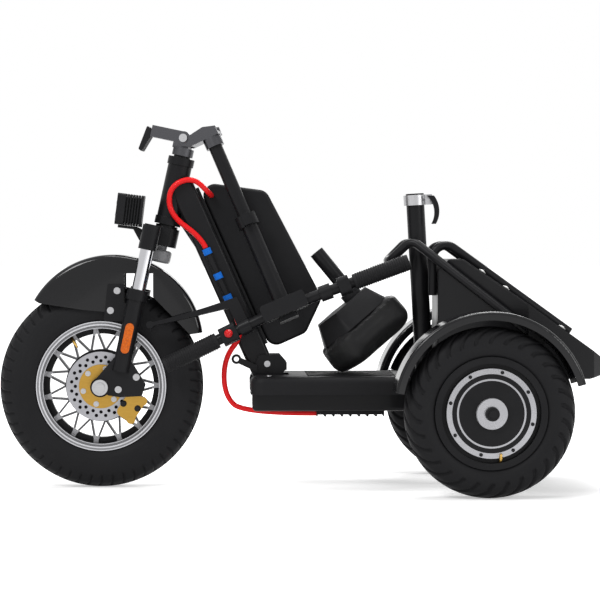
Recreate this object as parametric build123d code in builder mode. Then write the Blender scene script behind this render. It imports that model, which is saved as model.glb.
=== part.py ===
from build123d import *
import os
from math import atan, atan2, cos, degrees, radians, sin, tan

# Folding electric trike, with its handlebar stem folded down beside the battery pack.
# Millimetres. +Z is up, the front wheel points to -X and the rider's left is -Y.
# The origin is on the ground, under the middle of the vehicle's box.

# Front wheel
FRONT_AXLE_X = -400.0
FRONT_TYRE_R = 207.5
FRONT_TYRE_W = 80.0
FRONT_BEAD_R = 126.0
FRONT_RIM_WALL = 8.5
FRONT_FLANGE_R = 132.0
FRONT_FLANGE_T = 3.5
FRONT_RIM_HALF = 36.5
SPOKE_COUNT = 15
SPOKE_WIDTH = 10.0
SPOKE_LEG_WIDTH = 4.2
SPOKE_DEPTH = 22.0
SPOKE_FORK_R = 106.0
SPOKE_LEG_ANGLE = 11.4
SPOKE_FOOT_R = 72.0
RIM_WELL_R = 106.0
RIM_WELL_HALF = 8.0
FRONT_HUB_R = 38.0
FRONT_HUB_PLATE_R = 74.0
FRONT_HUB_HALF = 32.0
FRONT_AXLE_R = 10.0
FRONT_NUT_T = 12.0
FRONT_STUB = 4.0
DISC_R = 70.5
DISC_T = 3.5
DISC_Y = -40.0
DISC_CARRIER_R = 44.5
DISC_HOLE_R = 3.5
DISC_HOLES = 20
DISC_HOLE_ROWS = (52.0, 60.0)
CALIPER_ANGLE = -33.0
CALIPER_L = 40.0
CALIPER_W = 56.0
CALIPER_IN = 13.0
CALIPER_BRIDGE = 8.0
PAD_GAP = 5.0

# Rear wheels
REAR_AXLE_X = 368.0
REAR_TYRE_R = 168.0
REAR_TYRE_W = 80.0
REAR_BEAD_R = 104.0
REAR_RIM_WALL = 7.0
REAR_FLANGE_R = 110.0
REAR_FLANGE_T = 4.0
REAR_RIM_HALF = 36.5
REAR_TRACK = 480.0
MOTOR_R = 88.0
MOTOR_HALF = 40.0
MOTOR_CAP_R = 30.0
MOTOR_CAP_HALF = 47.0
REAR_AXLE_R = 8.0
REAR_AXLE_NUT_R = 13.5
REAR_AXLE_NUT_T = 9.0

# Clearances
RUN = 0.05
SEAT = 0.3

# Steering head and fork
RAKE = 12.4
FORK_OFFSET = 60.0
FORK_LENGTH = 349.3
HEAD_LENGTH = 140.0
HEAD_R = 24.5
STEERER_R = 17.0
STANCHION_R = 13.5
STANCHION_SPREAD = 69.0
STANCHION_OFFSET = 27.0
STANCHION_CLAMP_R = 18.5
CROWN_TOP = -6.0
CROWN_BOTTOM = -44.0
CLAMP_TOP = -20.0
CLAMP_BOTTOM = -58.0
LEG_R = 17.5
LEG_TOP = -140.0
LEG_COLLAR_R = 21.5
LEG_COLLAR_H = 22.0
LEG_FOOT = 40.0
DROPOUT_T = 9.0
DROPOUT_R = 20.0

# Caliper plate of the left dropout: x and z of its corners, from the axle
CALIPER_PLATE = ((0, 20), (34, 66), (62, 54), (92, 6), (84, -18), (40, -20), (14, -16))

# Leg reflectors
REFLECTOR_L = 62.0
REFLECTOR_W = 17.0
REFLECTOR_T = 6.0
REFLECTOR_BELOW = 100.0

# Front mudguard: an arc about its own centre, deeper than the tyre at the top
GUARD_CENTRE = (-376.0, 291.0)
GUARD_R = 184.0
GUARD_T = 2.5
GUARD_HALF = 47.8
GUARD_TIP = 150.0
GUARD_END = 8.0
GUARD_TIP_LIP = 13.0
GUARD_REAR_LIP = 26.0
GUARD_SKIRT_FRONT = 64.0
GUARD_SKIRT_REAR = 98.0
GUARD_SKIRT_KNEE = -60.0
GUARD_NOTCH = (24.0, 82.0)
GUARD_NOTCH_TOP = 146.0
GUARD_TAB_L = 70.0
GUARD_TAB_H = 76.0

# Headlamp and horn, from the bottom of the head tube
LAMP_DEPTH = 54.0
LAMP_HEIGHT = 64.0
LAMP_WIDTH = 76.0
LAMP_CENTRE = (-342.0, 566.0)
LAMP_TILT = 7.0
LAMP_FIN_COUNT = 6
LAMP_FIN_GAP = 3.2
LAMP_FIN_DEPTH = 5.0
LAMP_LENS_R = 27.0
LAMP_LENS_RECESS = 3.0
LAMP_ARM_T = 6.0
LAMP_ARM_HALF = 22.0
HORN_R = 22.0
HORN_L = 26.0

# Column and battery
COLUMN_ANGLE = 24.0
COLUMN_TOP = (-245.0, 633.0)
COLUMN_LENGTH = 455.0
COLUMN_SIZE = 50.0
COLUMN_FILLET = 8.0
RAIL_T = 6.0
PACK_NEAR = 5.0
PACK_WIDTH = 82.0
PACK_FILLET = 24.0
PACK_EDGE = 7.0
PACK_OUTLINE = ((22.0, 0.0), (98.0, 124.0), (347.0, 140.0), (399.0, 80.0), (399.0, 0.0))

# Red leads, with x, y and z of each corner, and the connector on the column's near face
LEAD_R = 5.5
LEAD_BEND = 18.0
LEAD_STRAIGHT = 24.0
LEAD_START = (-176.0, 596.0)
LEAD_UPPER = (
    (-176.0, -33.5, 596.0),
    (-214.0, -33.5, 634.0),
    (-262.0, -33.5, 612.0),
    (-260.0, -33.5, 555.0),
)
LEAD_LOWER = (
    (-112.0, -36.0, 312.0),
    (-150.0, -38.0, 264.0),
    (-150.0, -40.0, 190.0),
    (-112.0, -42.0, 152.0),
)
PLUG_START = 156.0
PLUG_BEHIND = -6.0
PLUG_R = 6.8
PLUG_LENGTH = 118.0
PLUG_COLLAR_R = 9.0
PLUG_COLLAR_H = 13.0
PLUG_COLLARS = (1.0, 55.5, 104.0)
PLUG_RIBS = 18
PLUG_RIB_R = 0.7

# Deck and frame
DECK_FRONT = -97.0
DECK_REAR = 232.0
DECK_HALF = 120.0
DECK_TOP = 230.0
DECK_T = 36.0
DECK_FILLET = 14.0
DECK_NOTCH_HALF = 38.0
DECK_NOTCH_L = 80.0
DECK_RIB_COUNT = 7
DECK_RIB_PITCH = 24.0
DECK_RIB_W = 9.0
DECK_RIB_H = 1.6
PAN_FRONT = -93.0
PAN_REAR = 322.0
PAN_HALF = 76.0
PAN_H = 36.0
FOOT_PLATE_T = 5.0
FOOT_BASE_T = 6.0
FOOT_BACK = -22.0
FOOT_TOP = 271.0
FOOT_NOTCH_R = 7.0
LATCH_EYE_AHEAD = 34.0
LATCH_EYE_BELOW = 9.0
BOX_FRONT = 38.0
BOX_LENGTH = 138.0
BOX_HALF = 62.0
BOX_H = 12.0
BOX_FIN_COUNT = 8
BOX_FIN_W = 4.0
BOX_FIN_DEPTH = 4.0

# Seat tube and stowed saddle
SEAT_TUBE_TOP = (242.0, 600.0)
SEAT_TUBE_LEAN = 3.2
SEAT_TUBE_R = 18.5
SEAT_FOOT_AFT = 40.0
SEAT_FOOT_L = 76.0
SEAT_FOOT_W = 90.0
SEAT_BORE_STOP = 30.0
SEAT_POST_R = 15.0
SEAT_CLAMP_R = 23.5
SEAT_CLAMP_H = 24.0
SEAT_LEVER_L = 52.0
SADDLE_LEAN = 39.3
SADDLE_CENTRE = (120.0, 326.0)
SADDLE_LENGTH = 196.0
SADDLE_WIDTH = 190.0
CUSHION_H = 66.0
CUSHION_FILLET = 26.0
SADDLE_PAN_H = 44.0
SADDLE_PAN_SHRINK = 16.0
SEAT_POST_LENGTH = 150.0
SEAT_POST_SHIFT = 30.0

# Rear frame, hoops, carrier rails and tub
FRAME_RAIL_Y = 58.0
FRAME_TUBE_R = 16.0
AXLE_BEAM_R = 20.0
AXLE_BEAM_GAP = 7.0
HOOP_R = 9.0
HOOP_NOSE = (188.0, 30.0, 462.0)
HOOP_KNEE = (232.0, 44.0, 505.0)
HOOP_END = (452.0, 174.3, 326.0)
HOOP_BEND = 22.0
TUB_FRONT = 284.0
TUB_REAR = 607.5
TUB_HALF = 165.0
TUB_FLOOR = 228.0
TUB_TOP = 466.0
TUB_SHOULDER = 333.0
TUB_TAIL_TOP = 268.0
TUB_WALL = 4.0
TUB_CORNER = 22.0
TUB_MEMBER = (344.0, 392.0)
CARRIER_Y = 44.0
CARRIER_R = 9.0
CARRIER_FOOT = 392.0
CARRIER_END = 556.0
CARRIER_BEND = 27.0

# Rear mudguards
REAR_GUARD_R = 190.0
REAR_GUARD_T = 3.0
REAR_GUARD_HALF = 46.0
REAR_GUARD_LIP = 17.0
REAR_GUARD_RISE = 8.0
REAR_GUARD_EDGE = 6.0
REAR_GUARD_FRONT = 170.0
REAR_GUARD_BACK = 15.0
REAR_GUARD_STAY_W = 34.0
REAR_GUARD_STAY_ANGLE = 50.0

# Fold hinge and stem
PIVOT_RISE = 40.0
HINGE_YAW = 15.0
STEM_OFFSET = 50.0
HINGE_KNUCKLE_R = 14.0
HINGE_KNUCKLE_HALF = 13.0
HINGE_PLATE_T = 4.5
HINGE_PLATE_GAP = 0.5
HINGE_PIN_R = 5.0
HINGE_SEAT = 14.0
HINGE_FLANGE_T = 8.0
HINGE_BASE_DEPTH = 24.0
HINGE_BASE_L = 72.0
LATCH_L = 44.0
STEM_R = 14.0
STEM_END = 236.0
SLEEVE_R = 16.5
SLEEVE_START = 196.0
SLEEVE_COLLAR_R = 22.0
SLEEVE_COLLAR_H = 24.0
SLEEVE_BORE_DEPTH = 46.0

# Handlebar
BAR_DISTANCE = 405.0
BAR_REACH = 12.0
BAR_R = 11.1
BAR_LENGTH = 525.0
BAR_SWEEP = 3.0
BAR_STRAIGHT = 58.0
GRIP_R = 16.0
GRIP_L = 118.0
CLAMP_BLOCK = 46.0
PERCH_R = 16.0
PERCH_W = 24.0
LEVER_L = 158.0
LEVER_T = 9.0
LEVER_PIVOT = 56.0
LEVER_MID = 70.0
LEVER_TIP = 88.0
LEVER_BALL_R = 7.5
SWITCH_W = 34.0
SWITCH_R = 21.0
DISPLAY_L = 95.0
DISPLAY_H = 34.0
DISPLAY_D = 26.0

os.makedirs("parts", exist_ok=True)


def keep(part, name):
    """Labels a finished piece and writes it as its own file."""
    part.label = name
    export_step(part, "parts/" + name + ".step")


# Directions and planes that several pieces share
rake = radians(RAKE)
STEER_UP = Vector(sin(rake), 0, cos(rake))
STEER_REAR = Vector(cos(rake), 0, -sin(rake))
front_axle = Vector(FRONT_AXLE_X, 0, FRONT_TYRE_R)
head_bottom = front_axle + STEER_REAR * FORK_OFFSET + STEER_UP * FORK_LENGTH
head = Plane(origin=head_bottom, x_dir=STEER_REAR, z_dir=STEER_UP)
axle_drop = -FORK_LENGTH
front_wheel = Plane(origin=front_axle)
front_spin = Axis(front_axle, (0, 1, 0))


def column_point(along, behind, y=0.0):
    """A point measured down the column's axis and square to it, towards the rear."""
    lean = radians(COLUMN_ANGLE)
    x = COLUMN_TOP[0] + along * sin(lean) + behind * cos(lean)
    z = COLUMN_TOP[1] - along * cos(lean) + behind * sin(lean)
    return Vector(x, y, z)


COLUMN_DOWN = column_point(1, 0) - column_point(0, 0)
COLUMN_REAR = column_point(0, 1) - column_point(0, 0)

# Front tyre
with BuildPart() as front_tyre:
    with BuildSketch(front_wheel):
        with BuildLine():
            bead = FRONT_RIM_HALF - FRONT_FLANGE_T - 4
            shoulder_r = FRONT_TYRE_R - 10
            shoulder = FRONT_TYRE_W / 2 - 12
            belly_r = (FRONT_BEAD_R + FRONT_TYRE_R) / 2
            half = FRONT_TYRE_W / 2
            ThreePointArc((FRONT_BEAD_R, -bead), (belly_r, -half), (shoulder_r, -shoulder))
            ThreePointArc((shoulder_r, -shoulder), (FRONT_TYRE_R, 0), (shoulder_r, shoulder))
            ThreePointArc((shoulder_r, shoulder), (belly_r, half), (FRONT_BEAD_R, bead))
            Line((FRONT_BEAD_R, bead), (FRONT_BEAD_R, -bead))
        make_face()
    revolve(axis=front_spin)
keep(front_tyre.part, "front_tyre")

# Front rim: flanged barrel, hub and forked spokes in one casting
barrel_out = FRONT_BEAD_R - SEAT
barrel_in = FRONT_BEAD_R - FRONT_RIM_WALL
spoke_plane = Plane(origin=front_axle, x_dir=(1, 0, 0), z_dir=(0, -1, 0))
leg_foot_angle = radians(SPOKE_LEG_ANGLE)
with BuildPart() as front_rim:
    with BuildSketch(front_wheel):
        with BuildLine():
            Polyline(
                (barrel_in, -FRONT_RIM_HALF),
                (FRONT_FLANGE_R, -FRONT_RIM_HALF),
                (FRONT_FLANGE_R, FRONT_FLANGE_T - FRONT_RIM_HALF),
                (barrel_out, FRONT_FLANGE_T - FRONT_RIM_HALF),
                (barrel_out, FRONT_RIM_HALF - FRONT_FLANGE_T),
                (FRONT_FLANGE_R, FRONT_RIM_HALF - FRONT_FLANGE_T),
                (FRONT_FLANGE_R, FRONT_RIM_HALF),
                (barrel_in, FRONT_RIM_HALF),
                close=True,
            )
        make_face()
    revolve(axis=front_spin)
    with BuildSketch(spoke_plane.offset(-FRONT_HUB_HALF)):
        Circle(FRONT_HUB_R)
    extrude(amount=2 * FRONT_HUB_HALF)
    with BuildSketch(spoke_plane.offset(-RIM_WELL_HALF)):
        Circle((barrel_in + barrel_out) / 2)
        Circle(RIM_WELL_R, mode=Mode.SUBTRACT)
        Circle(FRONT_HUB_PLATE_R)
    extrude(amount=2 * RIM_WELL_HALF)
    with BuildSketch(spoke_plane.offset(-SPOKE_DEPTH / 2)):
        with PolarLocations(0, SPOKE_COUNT):
            with Locations(((SPOKE_FORK_R + FRONT_BEAD_R - FRONT_RIM_WALL / 2) / 2, 0)):
                Rectangle(FRONT_BEAD_R - FRONT_RIM_WALL / 2 - SPOKE_FORK_R, SPOKE_WIDTH)
            for side in (-1, 1):
                foot = Vector(cos(leg_foot_angle), side * sin(leg_foot_angle)) * SPOKE_FOOT_R
                tip = Vector(SPOKE_FORK_R + 5, side * (SPOKE_WIDTH - SPOKE_LEG_WIDTH) / 2)
                leg = tip - foot
                with Locations(Location((foot + tip) * 0.5, (0, 0, degrees(atan2(leg.Y, leg.X))))):
                    Rectangle(leg.length, SPOKE_LEG_WIDTH)
    extrude(amount=SPOKE_DEPTH)
    with BuildSketch(spoke_plane.offset(-FRONT_HUB_HALF)):
        Circle(FRONT_AXLE_R + RUN)
    extrude(amount=2 * FRONT_HUB_HALF, mode=Mode.SUBTRACT)
keep(front_rim.part, "front_rim")

# Brake disc and its carrier on the left of the hub
disc_plane = Plane(origin=front_axle + Vector(0, DISC_Y + DISC_T / 2, 0), x_dir=(1, 0, 0), z_dir=(0, -1, 0))
with BuildPart() as brake_disc:
    with BuildSketch(disc_plane):
        Circle(DISC_R)
        Circle(DISC_CARRIER_R + SEAT, mode=Mode.SUBTRACT)
        for row, radius in enumerate(DISC_HOLE_ROWS):
            with PolarLocations(radius, DISC_HOLES, start_angle=row * 180 / DISC_HOLES):
                Circle(DISC_HOLE_R, mode=Mode.SUBTRACT)
    extrude(amount=DISC_T)
keep(brake_disc.part, "brake_disc")

carrier_back = -FRONT_HUB_HALF - SEAT
carrier_plane = Plane(origin=front_axle + Vector(0, carrier_back, 0), x_dir=(1, 0, 0), z_dir=(0, -1, 0))
with BuildPart() as disc_carrier:
    with BuildSketch(carrier_plane):
        Circle(DISC_CARRIER_R)
    extrude(amount=-DISC_Y + DISC_T / 2 + 1.5 + carrier_back)
    with BuildSketch(carrier_plane):
        Circle(FRONT_AXLE_R + 4)
    extrude(amount=-2 * DISC_Y, mode=Mode.SUBTRACT)
keep(disc_carrier.part, "disc_carrier")

# Front axle, fixed in the dropouts, with a nut at each end
dropout_y = STANCHION_SPREAD
FRONT_AXLE_LENGTH = 2 * (dropout_y + DROPOUT_T / 2 + SEAT + FRONT_NUT_T + FRONT_STUB)
with BuildPart() as front_axle_bar:
    with Locations(Plane(origin=front_axle, x_dir=(1, 0, 0), z_dir=(0, 1, 0))):
        Cylinder(FRONT_AXLE_R, FRONT_AXLE_LENGTH)
        for side in (-1, 1):
            with Locations((0, 0, side * (dropout_y + DROPOUT_T / 2 + FRONT_NUT_T / 2 + SEAT))):
                Cylinder(FRONT_AXLE_R + 6, FRONT_NUT_T)
            inner = FRONT_HUB_HALF + SEAT
            outer = dropout_y - DROPOUT_T / 2 - SEAT
            with Locations((0, 0, side * (inner + outer) / 2)):
                Cylinder(FRONT_AXLE_R + 3.5, outer - inner)
keep(front_axle_bar.part, "front_axle")

# Fork crown with its steerer, which runs in the head tube
pivot_height = HEAD_LENGTH + PIVOT_RISE
socket_top = HINGE_KNUCKLE_R + 6
steerer_top = pivot_height - socket_top - 2
with BuildPart() as fork_crown:
    with BuildSketch(head.offset(CROWN_BOTTOM)):
        Circle(HEAD_R + 3)
        with Locations((-STANCHION_OFFSET, 0)):
            Rectangle(30, 2 * STANCHION_SPREAD)
        with Locations((-STANCHION_OFFSET / 2, 0)):
            Rectangle(STANCHION_OFFSET + 20, 60)
    extrude(amount=CROWN_TOP - CROWN_BOTTOM)
    with BuildSketch(head.offset(CLAMP_BOTTOM)):
        with Locations((-STANCHION_OFFSET, STANCHION_SPREAD), (-STANCHION_OFFSET, -STANCHION_SPREAD)):
            Circle(STANCHION_CLAMP_R)
    extrude(amount=CLAMP_TOP - CLAMP_BOTTOM + 12)
    with BuildSketch(head.offset(CLAMP_BOTTOM)):
        with Locations((-STANCHION_OFFSET, STANCHION_SPREAD), (-STANCHION_OFFSET, -STANCHION_SPREAD)):
            Circle(STANCHION_R + RUN)
    extrude(amount=CLAMP_TOP - CLAMP_BOTTOM, mode=Mode.SUBTRACT)
    with BuildSketch(head.offset(CROWN_BOTTOM)):
        Circle(STEERER_R)
    extrude(amount=steerer_top - CROWN_BOTTOM)
    with BuildSketch(head.offset(CROWN_TOP)):
        Circle(HEAD_R - 2)
    extrude(amount=-CROWN_TOP - 1)
keep(fork_crown.part, "fork_crown")

with BuildPart() as stanchions:
    with BuildSketch(head.offset(CLAMP_TOP - SEAT)):
        with Locations((-STANCHION_OFFSET, STANCHION_SPREAD), (-STANCHION_OFFSET, -STANCHION_SPREAD)):
            Circle(STANCHION_R)
    extrude(amount=LEG_TOP - LEG_COLLAR_H - CLAMP_TOP)
keep(stanchions.part, "fork_stanchions")

# Lower legs with stepped collars and forward dropout plates, the left one widened for the caliper
leg_bottom = axle_drop + LEG_FOOT
with BuildPart() as fork_legs:
    for side in (-1, 1):
        with BuildSketch(head.offset(leg_bottom)):
            with Locations((-STANCHION_OFFSET, side * STANCHION_SPREAD)):
                Circle(LEG_R)
        extrude(amount=LEG_TOP - leg_bottom)
        with BuildSketch(head.offset(LEG_TOP - LEG_COLLAR_H)):
            with Locations((-STANCHION_OFFSET, side * STANCHION_SPREAD)):
                Circle(LEG_COLLAR_R)
        extrude(amount=LEG_COLLAR_H)
        plate = Plane(origin=head.from_local_coords((0, side * STANCHION_SPREAD + DROPOUT_T / 2, 0)),
                      x_dir=STEER_REAR, z_dir=(0, -1, 0))
        with BuildSketch(plate):
            with BuildLine():
                Polyline(
                    (-FORK_OFFSET - DROPOUT_R, axle_drop),
                    (-STANCHION_OFFSET - LEG_R, leg_bottom + 26),
                    (-STANCHION_OFFSET + LEG_R, leg_bottom + 26),
                    (-STANCHION_OFFSET + LEG_R, leg_bottom - 20),
                    (-FORK_OFFSET + DROPOUT_R, axle_drop),
                    close=True,
                )
            make_face()
            with Locations((-FORK_OFFSET, axle_drop)):
                Circle(DROPOUT_R)
                Circle(FRONT_AXLE_R + RUN, mode=Mode.SUBTRACT)
        extrude(amount=DROPOUT_T)
    lobe_y = Vector(0, -STANCHION_SPREAD + DROPOUT_T / 2, 0)
    with BuildSketch(Plane(origin=front_axle + lobe_y, x_dir=(1, 0, 0), z_dir=(0, -1, 0))):
        with BuildLine():
            Polyline(*CALIPER_PLATE, close=True)
        make_face()
        fillet(vertices(), 6)
        with Locations((0, 0)):
            Circle(FRONT_AXLE_R + RUN, mode=Mode.SUBTRACT)
    extrude(amount=DROPOUT_T)
    with BuildSketch(head.offset(LEG_TOP)):
        with Locations((-STANCHION_OFFSET, STANCHION_SPREAD), (-STANCHION_OFFSET, -STANCHION_SPREAD)):
            Circle(STANCHION_R + RUN)
    extrude(amount=-LEG_COLLAR_H - SEAT, mode=Mode.SUBTRACT)
keep(fork_legs.part, "fork_legs")

# Oblong side reflectors on the outer face of the legs
with BuildPart() as reflectors:
    for side in (-1, 1):
        outside = side * (STANCHION_SPREAD + LEG_R + SEAT)
        middle = head.from_local_coords((-STANCHION_OFFSET, outside, LEG_TOP - REFLECTOR_BELOW))
        face = Plane(origin=middle, x_dir=STEER_REAR, z_dir=(0, side, 0))
        with BuildSketch(face):
            SlotOverall(REFLECTOR_L, REFLECTOR_W, rotation=90)
        extrude(amount=REFLECTOR_T)
keep(reflectors.part, "leg_reflectors")

# Brake caliper over the disc's rear, hung inside the left dropout plate's lobe
caliper_angle = radians(CALIPER_ANGLE)
caliper_reach = DISC_R + 3
caliper_out_dir = Vector(cos(caliper_angle), 0, sin(caliper_angle))
caliper_centre = front_axle + caliper_out_dir * caliper_reach + Vector(0, DISC_Y, 0)
caliper_plane = Plane(origin=caliper_centre, x_dir=caliper_out_dir, z_dir=(0, -1, 0))
caliper_out = STANCHION_SPREAD - DROPOUT_T / 2 - SEAT + DISC_Y
disc_gap = DISC_T / 2 + PAD_GAP
with BuildPart() as caliper:
    with BuildSketch(caliper_plane.offset(-CALIPER_IN)):
        RectangleRounded(CALIPER_L, CALIPER_W, 10)
    extrude(amount=CALIPER_IN + caliper_out)
    with BuildSketch(caliper_plane.offset(CALIPER_IN)):
        with Locations((CALIPER_L / 2 - 6, CALIPER_W / 2 - 6), (CALIPER_L / 2 - 6, 6 - CALIPER_W / 2)):
            Circle(9)
    extrude(amount=caliper_out - CALIPER_IN)
    with BuildSketch(caliper_plane.offset(-disc_gap)):
        with Locations((-CALIPER_L / 2, 0)):
            Rectangle(2 * (CALIPER_L - CALIPER_BRIDGE), CALIPER_W + 2)
    extrude(amount=2 * disc_gap, mode=Mode.SUBTRACT)
keep(caliper.part, "brake_caliper")

# Front mudguard: a hollow arc with skirts ahead of and behind the legs
guard_plane = Plane(origin=(GUARD_CENTRE[0], GUARD_HALF, GUARD_CENTRE[1]), x_dir=(1, 0, 0), z_dir=(0, -1, 0))


def guard_point(angle, radius=GUARD_R):
    """A point on the mudguard's arc, in the plane of its side."""
    return Vector(radius * cos(radians(angle)), radius * sin(radians(angle)))


def guard_arc(first, last, radius=GUARD_R):
    """The mudguard's arc between two angles."""
    return ThreePointArc(
        guard_point(first, radius), guard_point((first + last) / 2, radius), guard_point(last, radius)
    )


inner_r = GUARD_R - GUARD_T
with BuildPart() as front_guard:
    with BuildSketch(guard_plane):
        with BuildLine():
            guard_arc(GUARD_TIP, GUARD_END)
            Polyline(
                guard_point(GUARD_END),
                guard_point(GUARD_END, GUARD_R - GUARD_REAR_LIP),
                (GUARD_NOTCH[1], GUARD_SKIRT_REAR),
                (GUARD_NOTCH[1], GUARD_NOTCH_TOP),
                (GUARD_NOTCH[0], GUARD_NOTCH_TOP),
                (GUARD_NOTCH[0], GUARD_SKIRT_FRONT),
                (GUARD_SKIRT_KNEE, GUARD_SKIRT_FRONT + 8),
                guard_point(GUARD_TIP, GUARD_R - GUARD_TIP_LIP),
                guard_point(GUARD_TIP),
            )
        make_face()
    extrude(amount=2 * GUARD_HALF)
    with BuildSketch(guard_plane.offset(GUARD_T)):
        Circle(inner_r)
    extrude(amount=2 * (GUARD_HALF - GUARD_T), mode=Mode.SUBTRACT)
keep(front_guard.part, "front_mudguard")

# Brackets that bolt the mudguard to the inner side of the legs
bracket_out = STANCHION_SPREAD - LEG_R - SEAT
bracket_end = head.from_local_coords((-STANCHION_OFFSET, 0, LEG_TOP - 60))
with BuildPart() as guard_brackets:
    for side in (-1, 1):
        inner = Vector(bracket_end.X, side * (GUARD_HALF + SEAT), bracket_end.Z)
        with BuildSketch(Plane(origin=inner, x_dir=(1, 0, 0), z_dir=(0, -1, 0))):
            with BuildLine():
                Polyline(
                    (12 - GUARD_TAB_L, -6),
                    (12, -6),
                    (12, 24),
                    (-18, 32),
                    (-18, GUARD_TAB_H - 6),
                    (20 - GUARD_TAB_L, GUARD_TAB_H - 6),
                    close=True,
                )
            make_face()
            fillet(vertices(), 4)
        extrude(amount=-side * (bracket_out - GUARD_HALF - SEAT))
keep(guard_brackets.part, "guard_brackets")

# Headlamp with cooling fins, and the arm that carries it on the crown
lamp_tilt = radians(LAMP_TILT)
lamp_out = Vector(-cos(lamp_tilt), 0, sin(lamp_tilt))
lamp_plane = Plane(origin=(LAMP_CENTRE[0], 0, LAMP_CENTRE[1]), x_dir=(0, -1, 0), z_dir=lamp_out)
with BuildPart() as headlamp:
    with BuildSketch(lamp_plane.offset(-LAMP_DEPTH / 2)):
        RectangleRounded(LAMP_WIDTH, LAMP_HEIGHT, 6)
    extrude(amount=LAMP_DEPTH)
    for fin in range(LAMP_FIN_COUNT):
        level = -LAMP_DEPTH / 2 + (fin + 1) * LAMP_DEPTH * 0.72 / (LAMP_FIN_COUNT + 1)
        with BuildSketch(lamp_plane.offset(level)):
            Rectangle(LAMP_WIDTH + 2, LAMP_HEIGHT + 2)
            core = 2 * LAMP_FIN_DEPTH
            RectangleRounded(LAMP_WIDTH - core, LAMP_HEIGHT - core, 4, mode=Mode.SUBTRACT)
        extrude(amount=LAMP_FIN_GAP, mode=Mode.SUBTRACT)
    with BuildSketch(lamp_plane.offset(LAMP_DEPTH / 2 - LAMP_LENS_RECESS)):
        RectangleRounded(2 * LAMP_LENS_R + 8, 2 * LAMP_LENS_R, 5)
    extrude(amount=LAMP_LENS_RECESS, mode=Mode.SUBTRACT)
keep(headlamp.part, "headlamp")

lamp_foot = lamp_plane.from_local_coords((0, -LAMP_HEIGHT / 2 - SEAT, 0))
crown_front = head.from_local_coords((-STANCHION_OFFSET - 15 - SEAT, 0, (CROWN_TOP + CROWN_BOTTOM) / 2))
with BuildPart() as lamp_arm:
    with BuildSketch(Plane(origin=(0, LAMP_ARM_HALF, 0), x_dir=(1, 0, 0), z_dir=(0, -1, 0))):
        with BuildLine():
            up = STEER_UP
            across = lamp_plane.y_dir * -LAMP_ARM_T
            a = lamp_foot + lamp_out * 20
            b = lamp_foot - lamp_out * 18
            c = crown_front + up * 4
            e = crown_front - up * 18
            f = e - STEER_REAR * LAMP_ARM_T
            g = b + across + lamp_out * 6
            h = a + across
            corners = [(v.X, v.Z) for v in (a, b, c, e, f, g, h)]
            Polyline(*corners, close=True)
        make_face()
    extrude(amount=2 * LAMP_ARM_HALF)
keep(lamp_arm.part, "lamp_arm")

# Horn under the crown, behind the legs
horn_top = CROWN_BOTTOM - SEAT
with BuildPart() as horn:
    with BuildSketch(head.offset(horn_top)):
        Circle(HORN_R * 0.45)
    extrude(amount=-8)
    with BuildSketch(head.offset(horn_top - 8)):
        Circle(HORN_R)
    extrude(amount=-HORN_L)
    fillet(horn.edges().filter_by(GeomType.CIRCLE).sort_by(SortBy.RADIUS)[-2:], 6)
keep(horn.part, "horn")

# Hinge base: a block clamped on the steerer, turned with the stem, with the knuckle on its pivot
pivot = head.from_local_coords((0, 0, pivot_height))
yaw = radians(HINGE_YAW)
HINGE_REAR = STEER_REAR * cos(yaw) - Vector(0, 1, 0) * sin(yaw)
base_plane = Plane(origin=pivot, x_dir=HINGE_REAR, z_dir=STEER_UP)
HINGE_ACROSS = base_plane.y_dir
base_side = Plane(origin=pivot - HINGE_ACROSS * HINGE_KNUCKLE_HALF, x_dir=HINGE_REAR, z_dir=-HINGE_ACROSS)
socket_base = PIVOT_RISE - 4
with BuildPart() as hinge_base:
    with BuildSketch(base_side):
        Circle(HINGE_KNUCKLE_R)
        with Locations((-HINGE_BASE_L / 2, HINGE_SEAT - SEAT - HINGE_BASE_DEPTH / 2)):
            Rectangle(HINGE_BASE_L, HINGE_BASE_DEPTH)
        with Locations((-4, -socket_top / 2 - 1)):
            Rectangle(34, socket_top + 2)
    extrude(amount=-2 * HINGE_KNUCKLE_HALF)
    with BuildSketch(base_plane.offset(-socket_base)):
        Circle(HEAD_R - 3)
    extrude(amount=socket_base - socket_top)
    with BuildSketch(base_plane.offset(-socket_base)):
        Circle(STEERER_R + RUN)
    extrude(amount=steerer_top + socket_base - pivot_height + SEAT, mode=Mode.SUBTRACT)
    with BuildSketch(base_side):
        Circle(HINGE_PIN_R + RUN)
    extrude(amount=-2 * HINGE_KNUCKLE_HALF, mode=Mode.SUBTRACT)
keep(hinge_base.part, "hinge_base")

# Pivot pin, carried by the stem's plates
plate_in = HINGE_KNUCKLE_HALF + HINGE_PLATE_GAP
plate_out = plate_in + HINGE_PLATE_T
with BuildPart() as hinge_pin:
    with Locations(Plane(origin=pivot, x_dir=HINGE_REAR, z_dir=HINGE_ACROSS)):
        Cylinder(HINGE_PIN_R, 2 * plate_out + 4)
        for side in (-1, 1):
            with Locations((0, 0, side * (plate_out + SEAT + 2))):
                Cylinder(HINGE_PIN_R + 3.5, 4)
keep(hinge_pin.part, "hinge_pin")

# Latch lever on the front end of the hinge base
with BuildPart() as latch:
    with BuildSketch(Plane(origin=pivot - HINGE_ACROSS * 9, x_dir=HINGE_REAR, z_dir=-HINGE_ACROSS)):
        with BuildLine():
            front = -HINGE_BASE_L - SEAT
            Polyline(
                (front, 6),
                (front, HINGE_SEAT - HINGE_BASE_DEPTH),
                (front - 12, -LATCH_L),
                (front - 20, 4 - LATCH_L),
                (front - 12, 10),
                close=True,
            )
        make_face()
    extrude(amount=-18)
    fillet(latch.edges().filter_by(lambda e: abs(e.tangent_at(0.5).dot(HINGE_ACROSS)) > 0.99), 2.5)
keep(latch.part, "hinge_latch")

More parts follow.
